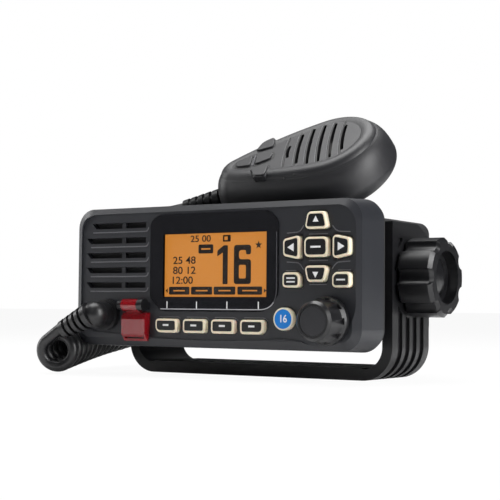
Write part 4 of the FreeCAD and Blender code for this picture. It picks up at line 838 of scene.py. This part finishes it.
def mic_crease_shade():
    """A dark line of painted shade between the microphone's face and its flank, round the nose."""
    side = [(x, MIC_AXIS - mic_inward(x, MIC_AXIS) + CREASE_IN) for x in CREASE_SIDE]
    nose_x, nose_r = MIC_NOSE - MIC_NOSE_R, MIC_NOSE_R - CREASE_IN
    turns = [math.radians(a) for a in CREASE_TURN]
    nose = [(nose_x + nose_r * math.cos(a), MIC_AXIS + nose_r * math.sin(a)) for a in turns]
    mic_line("mic_crease_shade", side + nose, CREASE_LIFT, CREASE_D, "shade_black")


# the scene

CAMERA_AT = Vector((0.31954, -0.51384, 0.03205))
CAMERA_TURN, CAMERA_PITCH, CAMERA_ROLL = 0.5760, 0.0469, 0.0081
FOCAL_PX = 1240.16
IMAGE_PX = 500
SENSOR = 36.0
NEAR_CLIP = 0.01
FLOOR_REACH = 12.0
FLOOR_GLOW = 0.94
ROOM_LIGHT = 0.07


def camera():
    a, p, r = CAMERA_TURN, CAMERA_PITCH, CAMERA_ROLL
    ahead = Vector((-math.sin(a) * math.cos(p), math.cos(a) * math.cos(p), math.sin(p)))
    level = Vector((math.cos(a), math.sin(a), 0))
    over = level.cross(ahead)
    right = level * math.cos(r) + over * math.sin(r)
    up = over * math.cos(r) - level * math.sin(r)
    eye = bpy.data.cameras.new("camera")
    eye.sensor_width = SENSOR
    eye.lens = FOCAL_PX / IMAGE_PX * SENSOR
    eye.clip_start = NEAR_CLIP
    made = bpy.data.objects.new("camera", eye)
    turn = Matrix((right, up, -ahead)).transposed().to_4x4()
    made.matrix_world = Matrix.Translation(CAMERA_AT) @ turn
    bpy.context.scene.collection.objects.link(made)
    bpy.context.scene.camera = made


def lamp(name, at, aim, size, power):
    light = bpy.data.lights.new(name, "AREA")
    light.shape = "RECTANGLE"
    light.size, light.size_y = size
    light.energy = power
    made = bpy.data.objects.new(name, light)
    made.location = at
    made.rotation_euler = (Vector(aim) - Vector(at)).to_track_quat("-Z", "Y").to_euler()
    bpy.context.scene.collection.objects.link(made)


def floor():
    """A pale floor that looks white to the camera and keeps a soft shadow."""
    mesh = bpy.data.meshes.new("floor")
    far = FLOOR_REACH
    mesh.from_pydata([(-far, -far, 0), (far, -far, 0), (far, far, 0), (-far, far, 0)], [], [(0, 1, 2, 3)])
    finish = Finish("floor_pale", (0.86, 0.86, 0.86), 0.9, Specular_IOR_Level=0.1)
    seen = finish.node("ShaderNodeLightPath")
    glow = finish.node("ShaderNodeEmission", None, {"Strength": 1.0})
    lit = Flow(finish, finish.shader.outputs[0])
    mix = finish.node("ShaderNodeMixShader", None, {0: seen * FLOOR_GLOW, 1: lit, 2: glow})
    finish.feed(finish.tree.nodes["Material Output"].inputs[0], mix)
    mesh.materials.append(finish.material)
    made = bpy.data.objects.new("floor", mesh)
    bpy.context.scene.collection.objects.link(made)


def world():
    sky = bpy.data.worlds.new("studio")
    bpy.context.scene.world = sky
    sky.use_nodes = True
    tree = sky.node_tree
    room = tree.nodes["Background"]
    room.inputs["Color"].default_value = (0.80, 0.82, 0.86, 1.0)
    room.inputs["Strength"].default_value = ROOM_LIGHT
    white = tree.nodes.new("ShaderNodeBackground")
    white.inputs["Color"].default_value = (1.0, 1.0, 1.0, 1.0)
    mix = tree.nodes.new("ShaderNodeMixShader")
    path = tree.nodes.new("ShaderNodeLightPath")
    tree.links.new(path.outputs["Is Camera Ray"], mix.inputs[0])
    tree.links.new(room.outputs[0], mix.inputs[1])
    tree.links.new(white.outputs[0], mix.inputs[2])
    tree.links.new(mix.outputs[0], tree.nodes["World Output"].inputs[0])


def studio():
    world()
    floor()
    lamp("top_softbox", (-0.10, 0.05, 0.75), (0.0, 0.0, 0.05), (0.9, 0.5), 8.5)
    lamp("left_softbox", (-0.75, -0.20, 0.30), (-0.03, -0.03, 0.05), (0.25, 0.7), 3.2)
    lamp("right_softbox", (0.75, -0.10, 0.30), (0.05, -0.03, 0.05), (0.3, 0.7), 7.5)
    lamp("front_fill", (0.15, -1.0, 0.65), (0.0, -0.05, 0.05), (0.6, 0.4), 0.5)
    bpy.context.scene.view_settings.view_transform = "Standard"


mix_finishes()
dress_nodes()
camera()
cords()
display()
window_ticks_and_highlight()
nav_well()
nav_keys()
soft_keys()
blue_key()
volume_face()
speaker_slots()
mic_keys()
mic_crescents()
mic_crease_shade()
studio()
